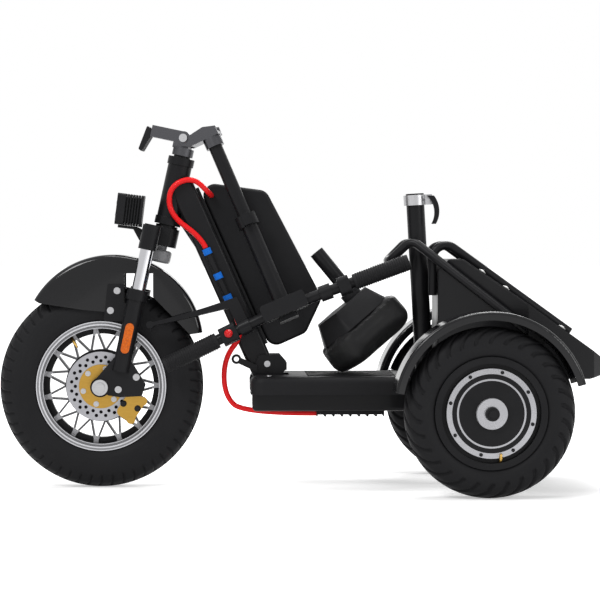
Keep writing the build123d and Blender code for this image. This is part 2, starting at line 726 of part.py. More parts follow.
# Stem, folded down parallel to the column as seen from the side
fold = radians(180 - RAKE - COLUMN_ANGLE)
STEM_DOWN = STEER_UP * cos(fold) + HINGE_REAR * sin(fold)
STEM_BACK = STEER_UP * sin(fold) - HINGE_REAR * cos(fold)


def stem_point(along, behind, across=0.0):
    """A point measured from the pivot down the stem, square to it, and along the hinge's pin."""
    return pivot + STEM_DOWN * along + STEM_BACK * behind + HINGE_ACROSS * across


stem_plane = Plane(origin=stem_point(0, STEM_OFFSET), x_dir=STEM_BACK, z_dir=STEM_DOWN)
with BuildPart() as stem_hinge:
    for side in (-1, 1):
        outer = stem_point(0, 0, side * plate_out)
        with BuildSketch(Plane(origin=outer, x_dir=STEM_BACK, z_dir=HINGE_ACROSS * -side)):
            flip = Plane(origin=outer, x_dir=STEM_BACK, z_dir=HINGE_ACROSS * -side).y_dir.dot(STEM_DOWN)
            with BuildLine():
                top = HINGE_SEAT + HINGE_FLANGE_T
                Polyline((-HINGE_KNUCKLE_R, 0), (-HINGE_KNUCKLE_R + 4, flip * top * 0.6), (4, flip * top),
                         (HINGE_BASE_L - 2, flip * top), (HINGE_BASE_L - 2, flip * HINGE_SEAT * 0.3),
                         (HINGE_BASE_L * 0.62, flip * -4), (HINGE_KNUCKLE_R, 0), close=True)
            make_face()
            Circle(HINGE_KNUCKLE_R)
            Circle(HINGE_PIN_R + RUN, mode=Mode.SUBTRACT)
        extrude(amount=HINGE_PLATE_T)
    with BuildSketch(stem_plane.offset(HINGE_SEAT)):
        with Locations((HINGE_BASE_L / 2 + 3 - STEM_OFFSET, 0)):
            RectangleRounded(HINGE_BASE_L - 10, 2 * plate_out, 3)
    extrude(amount=HINGE_FLANGE_T)
    with BuildSketch(stem_plane.offset(HINGE_SEAT + HINGE_FLANGE_T)):
        Circle(STEM_R + 5)
    extrude(amount=20)
    with BuildSketch(stem_plane.offset(HINGE_SEAT + HINGE_FLANGE_T)):
        Circle(STEM_R + RUN)
    extrude(amount=20, mode=Mode.SUBTRACT)
keep(stem_hinge.part, "stem_hinge")

stem_start = HINGE_SEAT + HINGE_FLANGE_T + SEAT
with BuildPart() as stem_tube:
    with BuildSketch(stem_plane.offset(stem_start)):
        Circle(STEM_R)
        Circle(STEM_R - 2.5, mode=Mode.SUBTRACT)
    extrude(amount=STEM_END - stem_start)
keep(stem_tube.part, "stem_tube")

# Bar axes: the bar lies fore and aft, and turns about the stem
level = atan2(-STEM_BACK.Y, HINGE_ACROSS.Y)
BAR_ALONG = STEM_BACK * cos(level) + HINGE_ACROSS * sin(level)
BAR_OUT = STEM_BACK * sin(level) - HINGE_ACROSS * cos(level)
sleeve_plane = Plane(origin=stem_point(0, STEM_OFFSET), x_dir=BAR_ALONG, z_dir=STEM_DOWN)
bar_centre = stem_point(BAR_DISTANCE, STEM_OFFSET) + BAR_OUT * BAR_REACH
bar_plane = Plane(origin=bar_centre, x_dir=STEM_DOWN, z_dir=BAR_ALONG)


def bar_point(along, beyond=0.0, out=0.0):
    """A point measured along the bar from its middle, past the stem's end, and out from the bar."""
    return bar_centre + BAR_ALONG * along + STEM_DOWN * beyond + BAR_OUT * out


sleeve_end = BAR_DISTANCE - CLAMP_BLOCK / 2 - SEAT
with BuildPart() as bar_sleeve:
    with BuildSketch(sleeve_plane.offset(SLEEVE_START)):
        Circle(SLEEVE_R)
    extrude(amount=sleeve_end - SLEEVE_START)
    with BuildSketch(sleeve_plane.offset(SLEEVE_START)):
        Circle(SLEEVE_COLLAR_R)
        with Locations((0, SLEEVE_COLLAR_R + 4)):
            Rectangle(18, 16)
    extrude(amount=SLEEVE_COLLAR_H)
    with BuildSketch(sleeve_plane.offset(SLEEVE_START)):
        Circle(STEM_R + RUN)
    extrude(amount=SLEEVE_BORE_DEPTH, mode=Mode.SUBTRACT)
keep(bar_sleeve.part, "bar_sleeve")

# Handlebar: a straight middle with a slight upsweep to the grips
sweep_slope = tan(radians(BAR_SWEEP))
grip_rise = (BAR_LENGTH / 2 - BAR_STRAIGHT) * sweep_slope
with BuildPart() as handlebar:
    with BuildLine() as bar_path:
        FilletPolyline(
            bar_point(-BAR_LENGTH / 2, grip_rise),
            bar_point(-BAR_STRAIGHT),
            bar_point(BAR_STRAIGHT),
            bar_point(BAR_LENGTH / 2, grip_rise),
            radius=80,
        )
    with BuildSketch(Plane(origin=bar_path.line @ 0, z_dir=bar_path.line % 0)):
        Circle(BAR_R)
    sweep()
keep(handlebar.part, "handlebar")

GRIP_DIRECTIONS = ((-1, "left"), (1, "right"))


def grip_axis(side, from_end):
    """A plane across the bar's swept end, a distance in from its tip, facing the middle."""
    tip = bar_point(side * BAR_LENGTH / 2, grip_rise)
    inward = (BAR_ALONG * -side - STEM_DOWN * sweep_slope).normalized()
    return Plane(origin=tip + inward * from_end, x_dir=BAR_OUT, z_dir=inward)


with BuildPart() as grips:
    for side, _ in GRIP_DIRECTIONS:
        with BuildSketch(grip_axis(side, -5)):
            Circle(GRIP_R)
        extrude(amount=GRIP_L)
        with BuildSketch(grip_axis(side, 0)):
            Circle(BAR_R + RUN)
        extrude(amount=GRIP_L, mode=Mode.SUBTRACT)
keep(grips.part, "grips")

with BuildPart() as bar_clamp:
    with BuildSketch(sleeve_plane.offset(BAR_DISTANCE - CLAMP_BLOCK / 2)):
        with Locations((0, BAR_REACH / 2)):
            RectangleRounded(40, 2 * SLEEVE_R + BAR_REACH, 6)
    extrude(amount=CLAMP_BLOCK)
    with BuildSketch(bar_plane.offset(-40)):
        Circle(BAR_R + RUN)
    extrude(amount=80, mode=Mode.SUBTRACT)
keep(bar_clamp.part, "bar_clamp")

# Brake lever: a perch round the bar at each side, and a bowed blade to a ball end on the left
perch_in = GRIP_L + 44
with BuildPart() as lever:
    for side, _ in GRIP_DIRECTIONS:
        with BuildSketch(grip_axis(side, perch_in)):
            Circle(PERCH_R)
        extrude(amount=PERCH_W)
    perch = grip_axis(-1, perch_in)
    blade_plane = Plane(origin=perch.origin - BAR_OUT * LEVER_T / 2, x_dir=perch.z_dir * -1, z_dir=BAR_OUT)
    up = 1 if blade_plane.y_dir.dot(STEM_DOWN) < 0 else -1
    with BuildSketch(blade_plane):
        with BuildLine():
            middle = LEVER_L * 0.45
            outer_root = (-PERCH_W, up * (LEVER_PIVOT + 6))
            outer_tip = (LEVER_L, up * (LEVER_TIP + 4))
            inner_tip = (LEVER_L, up * (LEVER_TIP - 4))
            inner_root = (0, up * (LEVER_PIVOT - 8))
            ThreePointArc(outer_root, (middle, up * (LEVER_MID + 5)), outer_tip)
            Line(outer_tip, inner_tip)
            ThreePointArc(inner_tip, (middle, up * (LEVER_MID - 6)), inner_root)
            Polyline(inner_root, (0, up * (PERCH_R - 3)), (-PERCH_W, up * (PERCH_R - 3)), outer_root)
        make_face()
        with Locations((LEVER_L, up * LEVER_TIP)):
            Circle(LEVER_BALL_R)
    extrude(amount=LEVER_T)
    for side, _ in GRIP_DIRECTIONS:
        with BuildSketch(grip_axis(side, perch_in - 1)):
            Circle(BAR_R + RUN)
        extrude(amount=PERCH_W + 2, mode=Mode.SUBTRACT)
keep(lever.part, "brake_lever")

# Switch box beside the left grip, throttle box beside the right one
box_in = GRIP_L + 4
for side, name in ((-1, "switch_box"), (1, "throttle_box")):
    with BuildPart() as box:
        with BuildSketch(grip_axis(side, box_in)):
            RectangleRounded(2 * SWITCH_R, 2 * SWITCH_R - 6, 9)
        extrude(amount=SWITCH_W * (1.0 if side < 0 else 0.7))
        with BuildSketch(grip_axis(side, box_in - 1)):
            Circle(BAR_R + RUN)
        extrude(amount=SWITCH_W + 2, mode=Mode.SUBTRACT)
    keep(box.part, name)

# Display over the bar clamp
display_plane = Plane(origin=bar_point(0, -2), x_dir=BAR_ALONG, z_dir=BAR_OUT)
with BuildPart() as display:
    with BuildSketch(display_plane.offset(SLEEVE_R + SEAT)):
        RectangleRounded(DISPLAY_L, DISPLAY_H, 7)
    extrude(amount=DISPLAY_D)
keep(display.part, "display")

# Column with the head tube welded on its top end
column_start = 14.0
gusset_t = 14.0
with BuildPart() as column:
    with BuildSketch(Plane(origin=column_point(column_start, 0), x_dir=COLUMN_REAR, z_dir=COLUMN_DOWN)):
        RectangleRounded(COLUMN_SIZE, COLUMN_SIZE, COLUMN_FILLET)
    extrude(amount=COLUMN_LENGTH - column_start)
    with BuildSketch(Plane(origin=(0, gusset_t / 2, 0), x_dir=(1, 0, 0), z_dir=(0, -1, 0))):
        with BuildLine():
            low_head = head.from_local_coords((HEAD_R - 6, 0, 14))
            under = column_point(170, 4 - COLUMN_SIZE / 2)
            inside = column_point(60, 0)
            Polyline((low_head.X, low_head.Z), (under.X, under.Z), (inside.X, inside.Z), close=True)
        make_face()
    extrude(amount=gusset_t)
    with BuildSketch(head):
        Circle(HEAD_R)
    extrude(amount=HEAD_LENGTH)
    for ring in (0, HEAD_LENGTH - 16):
        with BuildSketch(head.offset(ring)):
            Circle(HEAD_R + 2.5)
        extrude(amount=16)
    with BuildSketch(head):
        Circle(STEERER_R + RUN)
    extrude(amount=HEAD_LENGTH, mode=Mode.SUBTRACT)
keep(column.part, "column")

# Foot: a base on the frame pan and two notched plates that clasp the column
pan_top = DECK_TOP - DECK_T
foot_in = COLUMN_SIZE / 2 + SEAT
foot_front = PAN_FRONT + 2
with BuildPart() as column_foot:
    with BuildSketch(Plane.XY.offset(pan_top)):
        with Locations(((foot_front + FOOT_BACK) / 2, 0)):
            Rectangle(FOOT_BACK - foot_front, 2 * (foot_in + FOOT_PLATE_T))
    extrude(amount=FOOT_BASE_T)
    for side in (-1, 1):
        plate_middle = Vector(0, side * (foot_in + FOOT_PLATE_T / 2), 0)
        with BuildSketch(Plane(origin=plate_middle, x_dir=(1, 0, 0), z_dir=(0, -1, 0))):
            with BuildLine():
                Polyline(
                    (foot_front, pan_top),
                    (foot_front, pan_top + 44),
                    (foot_front + 12, FOOT_TOP),
                    (FOOT_BACK - 14, FOOT_TOP),
                    (FOOT_BACK, FOOT_TOP - 16),
                    (FOOT_BACK, pan_top),
                    close=True,
                )
            make_face()
            with Locations((FOOT_BACK, (pan_top + FOOT_TOP) / 2)):
                Circle(FOOT_NOTCH_R, mode=Mode.SUBTRACT)
        extrude(amount=FOOT_PLATE_T / 2, both=True)
keep(column_foot.part, "column_foot")

# Foot latch: a lever with an eye, ahead of the column's foot
latch_eye = Vector(foot_front - LATCH_EYE_AHEAD, 0, FOOT_TOP - LATCH_EYE_BELOW)
with BuildPart() as foot_latch:
    with BuildSketch(Plane(origin=(0, -foot_in - FOOT_PLATE_T - SEAT, 0), x_dir=(1, 0, 0), z_dir=(0, -1, 0))):
        with BuildLine():
            Polyline(
                (latch_eye.X, latch_eye.Z + 7),
                (foot_front + 9, FOOT_TOP - 22),
                (foot_front + 9, FOOT_TOP - 36),
                (latch_eye.X, latch_eye.Z - 7),
                close=True,
            )
        make_face()
        with Locations((latch_eye.X, latch_eye.Z)):
            Circle(10)
            Circle(5, mode=Mode.SUBTRACT)
    extrude(amount=FOOT_PLATE_T)
keep(foot_latch.part, "foot_latch")

# Battery rail on the column's rear face, and the pack that slides on it
pack_front = COLUMN_SIZE / 2 + RAIL_T
rail_start = PACK_OUTLINE[0][0] + 14
rail_end = PACK_OUTLINE[-1][0] - 14
pack_side = Plane(origin=column_point(0, pack_front, PACK_NEAR), x_dir=COLUMN_REAR, z_dir=(0, 1, 0))
with BuildPart() as battery_rail:
    rail_top = column_point(rail_start, COLUMN_SIZE / 2)
    with BuildSketch(Plane(origin=rail_top, x_dir=(0, 1, 0), z_dir=COLUMN_REAR)):
        with Locations((PACK_NEAR + 4, (rail_start - rail_end) / 2)):
            Rectangle(2 * (COLUMN_SIZE / 2 - COLUMN_FILLET) - 8 + PACK_NEAR, rail_end - rail_start)
    extrude(amount=RAIL_T)
keep(battery_rail.part, "battery_rail")

pack_down = pack_side.y_dir.dot(COLUMN_DOWN)
with BuildPart() as pack:
    with BuildSketch(pack_side):
        with BuildLine():
            Polyline(*[(behind, pack_down * along) for along, behind in PACK_OUTLINE], close=True)
        make_face()
        fillet(vertices(), PACK_FILLET)
    extrude(amount=PACK_WIDTH)
    fillet(pack.faces().filter_by(Axis.Y).edges(), PACK_EDGE)
keep(pack.part, "battery_pack")

# Deck: a moulded footboard with rounded edges and grip ribs, notched for the column's foot
deck_mid = (DECK_FRONT + DECK_REAR) / 2
with BuildPart() as deck:
    with BuildSketch(Plane.XY.offset(pan_top)):
        with Locations((deck_mid, 0)):
            RectangleRounded(DECK_REAR - DECK_FRONT, 2 * DECK_HALF, 28)
    extrude(amount=DECK_T)
    fillet(deck.faces().sort_by(Axis.Z)[-1].edges(), DECK_FILLET)
    with BuildSketch(Plane.XY.offset(DECK_TOP)):
        with Locations((deck_mid + DECK_NOTCH_L / 2, 0)):
            with GridLocations(1, DECK_RIB_PITCH, 1, DECK_RIB_COUNT):
                SlotOverall(DECK_REAR - DECK_FRONT - DECK_NOTCH_L - 70, DECK_RIB_W)
    extrude(amount=DECK_RIB_H)
    with BuildSketch(Plane.XY.offset(pan_top)):
        with Locations((DECK_FRONT + DECK_NOTCH_L / 2, 0)):
            Rectangle(DECK_NOTCH_L, 2 * DECK_NOTCH_HALF)
    extrude(amount=DECK_T + DECK_RIB_H, mode=Mode.SUBTRACT)
keep(deck.part, "deck")

# Frame pan under the deck, with a finned controller box below it
pan_floor = pan_top - PAN_H
with BuildPart() as frame_pan:
    with BuildSketch(Plane.XY.offset(pan_floor)):
        with Locations(((PAN_FRONT + PAN_REAR) / 2, 0)):
            RectangleRounded(PAN_REAR - PAN_FRONT, 2 * PAN_HALF, 10)
    extrude(amount=PAN_H)
    fillet(frame_pan.faces().sort_by(Axis.Z)[0].edges(), 8)
keep(frame_pan.part, "frame_pan")

with BuildPart() as controller_box:
    with BuildSketch(Plane.XY.offset(pan_floor)):
        with Locations((BOX_FRONT + BOX_LENGTH / 2, 0)):
            RectangleRounded(BOX_LENGTH, 2 * BOX_HALF, 6)
    extrude(amount=-BOX_H)
    with BuildSketch(Plane.XY.offset(pan_floor - BOX_H)):
        with Locations((BOX_FRONT + BOX_LENGTH / 2, 0)):
            with GridLocations(BOX_LENGTH / BOX_FIN_COUNT, 1, BOX_FIN_COUNT, 1):
                Rectangle(BOX_LENGTH / BOX_FIN_COUNT - BOX_FIN_W, 2 * BOX_HALF + 2)
    extrude(amount=BOX_FIN_DEPTH, mode=Mode.SUBTRACT)
keep(controller_box.part, "controller_box")

# Connector: a black barrel with three ribbed collars along the column's near face
plug_y = -COLUMN_SIZE / 2 - SEAT - PLUG_COLLAR_R
plug_plane = Plane(origin=column_point(PLUG_START, PLUG_BEHIND, plug_y), x_dir=(0, 1, 0), z_dir=COLUMN_DOWN)
with BuildPart() as plug:
    with BuildSketch(plug_plane):
        Circle(PLUG_R)
    extrude(amount=PLUG_LENGTH)
keep(plug.part, "lead_connector")

with BuildPart() as collars:
    for along in PLUG_COLLARS:
        with BuildSketch(plug_plane.offset(along)):
            Circle(PLUG_COLLAR_R)
            with PolarLocations(PLUG_COLLAR_R, PLUG_RIBS):
                Circle(PLUG_RIB_R, mode=Mode.SUBTRACT)
            Circle(PLUG_R + RUN, mode=Mode.SUBTRACT)
        extrude(amount=PLUG_COLLAR_H)
keep(collars.part, "connector_collars")

# Red leads: from the pack's side round the head tube to the connector, and on to the controller box
plug_top = plug_plane.origin - COLUMN_DOWN * SEAT
plug_end = plug_plane.origin + COLUMN_DOWN * (PLUG_LENGTH + SEAT)
pack_exit = (LEAD_START[0], PACK_NEAR - SEAT, LEAD_START[1])
box_entry = (BOX_FRONT - SEAT, LEAD_LOWER[-1][1], pan_floor - BOX_H / 2)
upper_route = [pack_exit, *LEAD_UPPER, plug_top - COLUMN_DOWN * LEAD_STRAIGHT, plug_top]
lower_route = [plug_end, plug_end + COLUMN_DOWN * LEAD_STRAIGHT, *LEAD_LOWER, box_entry]
with BuildPart() as red_leads:
    for route in (upper_route, lower_route):
        with BuildLine() as lead_path:
            FilletPolyline(*[Vector(point) for point in route], radius=LEAD_BEND)
        with BuildSketch(Plane(origin=lead_path.line @ 0, z_dir=lead_path.line % 0)):
            Circle(LEAD_R)
        sweep(path=lead_path.line)
keep(red_leads.part, "red_leads")

# Seat tube standing on the pan, open at the top for a seat post
seat_lean = radians(SEAT_TUBE_LEAN)
SEAT_UP = Vector(-sin(seat_lean), 0, cos(seat_lean))
seat_top = Vector(SEAT_TUBE_TOP[0], 0, SEAT_TUBE_TOP[1])
seat_plane = Plane(origin=seat_top, x_dir=(0, -1, 0), z_dir=SEAT_UP)
seat_drop = (SEAT_TUBE_TOP[1] - pan_top) / cos(seat_lean)
with BuildPart() as seat_tube:
    with BuildSketch(seat_plane):
        Circle(SEAT_TUBE_R)
    extrude(amount=-seat_drop - 20)
    with BuildSketch(Plane.XY.offset(pan_top)):
        with Locations((DECK_REAR + SEAT_FOOT_AFT, 0)):
            RectangleRounded(SEAT_FOOT_L, SEAT_FOOT_W, 10)
    extrude(amount=12)
    with BuildSketch(Plane.XY.offset(pan_top)):
        with Locations((DECK_REAR, 0)):
            Rectangle(4 * SEAT_FOOT_L, 2 * SEAT_FOOT_W)
    extrude(amount=-60, mode=Mode.SUBTRACT)
    with BuildSketch(seat_plane):
        Circle(SEAT_POST_R + 2 * RUN)
    extrude(amount=SEAT_BORE_STOP - seat_drop, mode=Mode.SUBTRACT)
keep(seat_tube.part, "seat_tube")

# Quick-release collar on the seat tube, with its cross bolt behind
ear_back = SEAT_CLAMP_R + 6
with BuildPart() as seat_clamp:
    with BuildSketch(seat_plane.offset(-SEAT_CLAMP_H)):
        Circle(SEAT_CLAMP_R)
        with Locations((0, ear_back - 3)):
            Rectangle(26, 16)
    extrude(amount=SEAT_CLAMP_H - 3)
    with BuildSketch(seat_plane.offset(-SEAT_CLAMP_H)):
        Circle(SEAT_TUBE_R + RUN)
        with Locations((0, ear_back)):
            Rectangle(3, 24)
    extrude(amount=SEAT_CLAMP_H - 3, mode=Mode.SUBTRACT)
    bolt_middle = seat_plane.from_local_coords((0, ear_back, -SEAT_CLAMP_H / 2))
    with Locations(Plane(origin=bolt_middle, x_dir=(1, 0, 0), z_dir=(0, 1, 0))):
        Cylinder(3.5, 40)
keep(seat_clamp.part, "seat_clamp")

# Curved release lever on the bolt's near end
lever_side = bolt_middle - Vector(0, 20 + SEAT, 0)
with BuildPart() as seat_lever:
    with BuildSketch(Plane(origin=lever_side, x_dir=(1, 0, 0), z_dir=(0, -1, 0))):
        with BuildLine():
            ThreePointArc((-7, 6), (8, -SEAT_LEVER_L / 2), (2, -SEAT_LEVER_L))
            Line((2, -SEAT_LEVER_L), (11, -SEAT_LEVER_L))
            ThreePointArc((11, -SEAT_LEVER_L), (18, -SEAT_LEVER_L / 2), (7, 6))
            Line((7, 6), (-7, 6))
        make_face()
    extrude(amount=8)
keep(seat_lever.part, "seat_lever")

# Saddle, taken out of its tube and laid upside down on the deck
saddle_lean = radians(SADDLE_LEAN)
POST_UP = Vector(-sin(saddle_lean), 0, cos(saddle_lean))
SADDLE_AFT = Vector(cos(saddle_lean), 0, sin(saddle_lean))
saddle_origin = Vector(SADDLE_CENTRE[0], 0, SADDLE_CENTRE[1])
saddle_plane = Plane(origin=saddle_origin, x_dir=SADDLE_AFT, z_dir=POST_UP)
with BuildPart() as cushion:
    with BuildSketch(saddle_plane):
        with BuildLine():
            nose = SADDLE_LENGTH / 2
            ThreePointArc((nose, -42), (nose + 5, 0), (nose, 42))
            Line((nose, 42), (-nose + 60, SADDLE_WIDTH / 2))
            ThreePointArc((-nose + 60, SADDLE_WIDTH / 2), (-nose, 0), (-nose + 60, -SADDLE_WIDTH / 2))
            Line((-nose + 60, -SADDLE_WIDTH / 2), (nose, -42))
        make_face()
        fillet(vertices(), 24)
    extrude(amount=-CUSHION_H)
    fillet(cushion.faces().sort_by(Axis(saddle_origin, POST_UP))[0].edges(), CUSHION_FILLET)
cushion_drop = cushion.part.bounding_box().min.Z - DECK_TOP - DECK_RIB_H - SEAT
saddle_shift = Location((0, 0, -cushion_drop))
keep(cushion.part.moved(saddle_shift), "saddle_cushion")

saddle_foot = saddle_origin - Vector(0, 0, cushion_drop) + POST_UP * SEAT
saddle_base = Plane(origin=saddle_foot, x_dir=SADDLE_AFT, z_dir=POST_UP)
with BuildPart() as saddle_pan:
    with BuildSketch(saddle_base):
        with BuildLine():
            nose = SADDLE_LENGTH / 2 - SADDLE_PAN_SHRINK
            width = SADDLE_WIDTH / 2 - SADDLE_PAN_SHRINK
            Polyline((nose, -28), (nose, 28), (-nose + 60, width), (-nose, width - 40), (-nose, 40 - width),
                     (-nose + 60, -width), close=True)
        make_face()
        fillet(vertices(), 22)
    extrude(amount=SADDLE_PAN_H, taper=24)
    with BuildSketch(saddle_base):
        with Locations((SEAT_POST_SHIFT, 0)):
            Circle(SEAT_POST_R + 6)
    extrude(amount=SADDLE_PAN_H + 14)
    with BuildSketch(saddle_base.offset(SADDLE_PAN_H * 0.3)):
        with Locations((SEAT_POST_SHIFT, 0)):
            Circle(SEAT_POST_R + RUN)
    extrude(amount=SADDLE_PAN_H + 14, mode=Mode.SUBTRACT)
keep(saddle_pan.part, "saddle_pan")

with BuildPart() as seat_post:
    with BuildSketch(saddle_base.offset(SADDLE_PAN_H * 0.3 + SEAT)):
        with Locations((SEAT_POST_SHIFT, 0)):
            Circle(SEAT_POST_R)
            Circle(SEAT_POST_R - 2.5, mode=Mode.SUBTRACT)
    extrude(amount=SEAT_POST_LENGTH)
keep(seat_post.part, "seat_post")

# Rear frame: two rails back from the pan to the axle beam, with stub axles
rear_axle = Vector(REAR_AXLE_X, 0, REAR_TYRE_R)
stub_end = REAR_TRACK / 2 + MOTOR_CAP_HALF + REAR_AXLE_NUT_T + 4
with BuildPart() as rear_frame:
    with Locations(Plane(origin=rear_axle, x_dir=(1, 0, 0), z_dir=(0, 1, 0))):
        Cylinder(AXLE_BEAM_R, REAR_TRACK - 2 * (MOTOR_CAP_HALF + AXLE_BEAM_GAP))
        Cylinder(REAR_AXLE_R, 2 * stub_end)
        for side in (-1, 1):
            with Locations((0, 0, side * (REAR_TRACK / 2 + MOTOR_CAP_HALF + SEAT + REAR_AXLE_NUT_T / 2))):
                Cylinder(REAR_AXLE_NUT_R, REAR_AXLE_NUT_T)
    rail_length = REAR_AXLE_X - PAN_REAR
    for side in (-1, 1):
        rail_foot = Vector(PAN_REAR, side * FRAME_RAIL_Y, REAR_TYRE_R + 6)
        with BuildSketch(Plane(origin=rail_foot, x_dir=(0, 1, 0), z_dir=(1, 0, 0))):
            RectangleRounded(2 * FRAME_TUBE_R, 34, 6)
        extrude(amount=rail_length)
        with BuildSketch(Plane(origin=(REAR_AXLE_X, side * FRAME_RAIL_Y, REAR_TYRE_R))):
            RectangleRounded(2 * FRAME_TUBE_R, 2 * FRAME_TUBE_R, 5)
        extrude(amount=TUB_FLOOR - REAR_TYRE_R - SEAT)
keep(rear_frame.part, "rear_frame")

# Tub: a wedge-shaped moulded tail box, open below, that widens along the hoop's two arms
tub_slope = (TUB_TOP - TUB_TAIL_TOP) / (TUB_REAR - TUB_SHOULDER)
hoop_spread = (HOOP_END[1] - HOOP_KNEE[1]) / (HOOP_END[0] - HOOP_KNEE[0])
hoop_gap = (HOOP_R + SEAT) / cos(atan(hoop_spread))


def tub_half(x):
    """Half of the tub's width at a distance along it, held off the hoop's arm."""
    return min(TUB_HALF, HOOP_KNEE[1] + (x - HOOP_KNEE[0]) * hoop_spread - hoop_gap)


tub_wide = HOOP_KNEE[0] + (TUB_HALF + hoop_gap - HOOP_KNEE[1]) / hoop_spread
tub_side = Plane(origin=(0, TUB_HALF, 0), x_dir=(1, 0, 0), z_dir=(0, -1, 0))
with BuildPart() as hollow:
    with BuildSketch(tub_side):
        with BuildLine():
            w = TUB_WALL
            drop = w / cos(atan(tub_slope))
            back = TUB_REAR - TUB_CORNER
            Polyline(
                (TUB_FRONT + w, TUB_FLOOR - 1),
                (TUB_FRONT + w, TUB_TOP - w - TUB_CORNER),
                (TUB_FRONT + w + TUB_CORNER, TUB_TOP - w),
                (TUB_SHOULDER, TUB_TOP - drop),
                (back, TUB_TOP - drop - (back - TUB_SHOULDER) * tub_slope),
                (back, TUB_FLOOR - 1),
                close=True,
            )
        make_face()
    extrude(amount=2 * TUB_HALF)
    with BuildSketch(Plane.XY.offset(TUB_FLOOR - 1)):
        with BuildLine():
            w = TUB_WALL
            front = tub_half(TUB_FRONT) - w
            Polyline(
                (TUB_FRONT, -front),
                (tub_wide, w - TUB_HALF),
                (TUB_REAR, w - TUB_HALF),
                (TUB_REAR, TUB_HALF - w),
                (tub_wide, TUB_HALF - w),
                (TUB_FRONT, front),
                close=True,
            )
        make_face()
    extrude(amount=TUB_TOP - TUB_FLOOR + 2, mode=Mode.INTERSECT)
with BuildPart() as tub:
    with BuildSketch(tub_side):
        with BuildLine():
            Polyline(
                (TUB_FRONT, TUB_FLOOR + 40),
                (TUB_FRONT, TUB_TOP - TUB_CORNER),
                (TUB_FRONT + TUB_CORNER, TUB_TOP),
                (TUB_SHOULDER, TUB_TOP),
                (TUB_REAR, TUB_TAIL_TOP),
                (TUB_REAR, TUB_FLOOR + 8),
                (TUB_REAR - 30, TUB_FLOOR),
                (TUB_FRONT + 40, TUB_FLOOR),
                close=True,
            )
        make_face()
    extrude(amount=2 * TUB_HALF)
    with BuildSketch(Plane.XY.offset(TUB_FLOOR)):
        with BuildLine():
            front = tub_half(TUB_FRONT)
            Polyline(
                (TUB_FRONT, -front),
                (tub_wide, -TUB_HALF),
                (TUB_REAR - TUB_CORNER, -TUB_HALF),
                (TUB_REAR, TUB_CORNER - TUB_HALF),
                (TUB_REAR, TUB_HALF - TUB_CORNER),
                (TUB_REAR - TUB_CORNER, TUB_HALF),
                (tub_wide, TUB_HALF),
                (TUB_FRONT, front),
                close=True,
            )
        make_face()
    extrude(amount=TUB_TOP - TUB_FLOOR, mode=Mode.INTERSECT)
    add(hollow.part, mode=Mode.SUBTRACT)
    with BuildSketch(Plane.XY.offset(TUB_FLOOR)):
        with BuildLine():
            first = tub_half(TUB_MEMBER[0]) - 1
            last = tub_half(TUB_MEMBER[1]) - 1
            Polyline(
                (TUB_MEMBER[0], -first),
                (TUB_MEMBER[1], -last),
                (TUB_MEMBER[1], last),
                (TUB_MEMBER[0], first),
                close=True,
            )
        make_face()
    extrude(amount=TUB_WALL)
keep(tub.part, "tub")

# Hoop: one bent tube round the front of the seat tube, its arms bolted along the tub's sides
with BuildPart() as hoop:
    with BuildLine() as hoop_path:
        FilletPolyline(
            Vector(HOOP_END[0], -HOOP_END[1], HOOP_END[2]),
            Vector(HOOP_KNEE[0], -HOOP_KNEE[1], HOOP_KNEE[2]),
            Vector(HOOP_NOSE[0], -HOOP_NOSE[1], HOOP_NOSE[2]),
            Vector(*HOOP_NOSE),
            Vector(*HOOP_KNEE),
            Vector(*HOOP_END),
            radius=HOOP_BEND,
        )
    with BuildSketch(Plane(origin=hoop_path.line @ 0, z_dir=hoop_path.line % 0)):
        Circle(HOOP_R)
    sweep()
keep(hoop.part, "carrier_hoop")

# Carrier rails: bent tubes that rise before the tub and lie along its sloping top
carrier_x = TUB_FRONT - CARRIER_R - SEAT
lift = (CARRIER_R + SEAT) / cos(atan(tub_slope))


def carrier_height(x):
    """The height of a carrier rail's axis where it lies along the tub's slope."""
    return TUB_TOP + lift - (x - TUB_SHOULDER) * tub_slope


with BuildPart() as carrier:
    for side in (-1, 1):
        with BuildLine() as rail_path:
            FilletPolyline(
                Vector(carrier_x, side * CARRIER_Y, CARRIER_FOOT),
                Vector(carrier_x, side * CARRIER_Y, carrier_height(carrier_x)),
                Vector(CARRIER_END, side * CARRIER_Y, carrier_height(CARRIER_END)),
                radius=CARRIER_BEND,
            )
        with BuildSketch(Plane(origin=rail_path.line @ 0, z_dir=rail_path.line % 0)):
            Circle(CARRIER_R)
        sweep(path=rail_path.line)
keep(carrier.part, "carrier_rails")

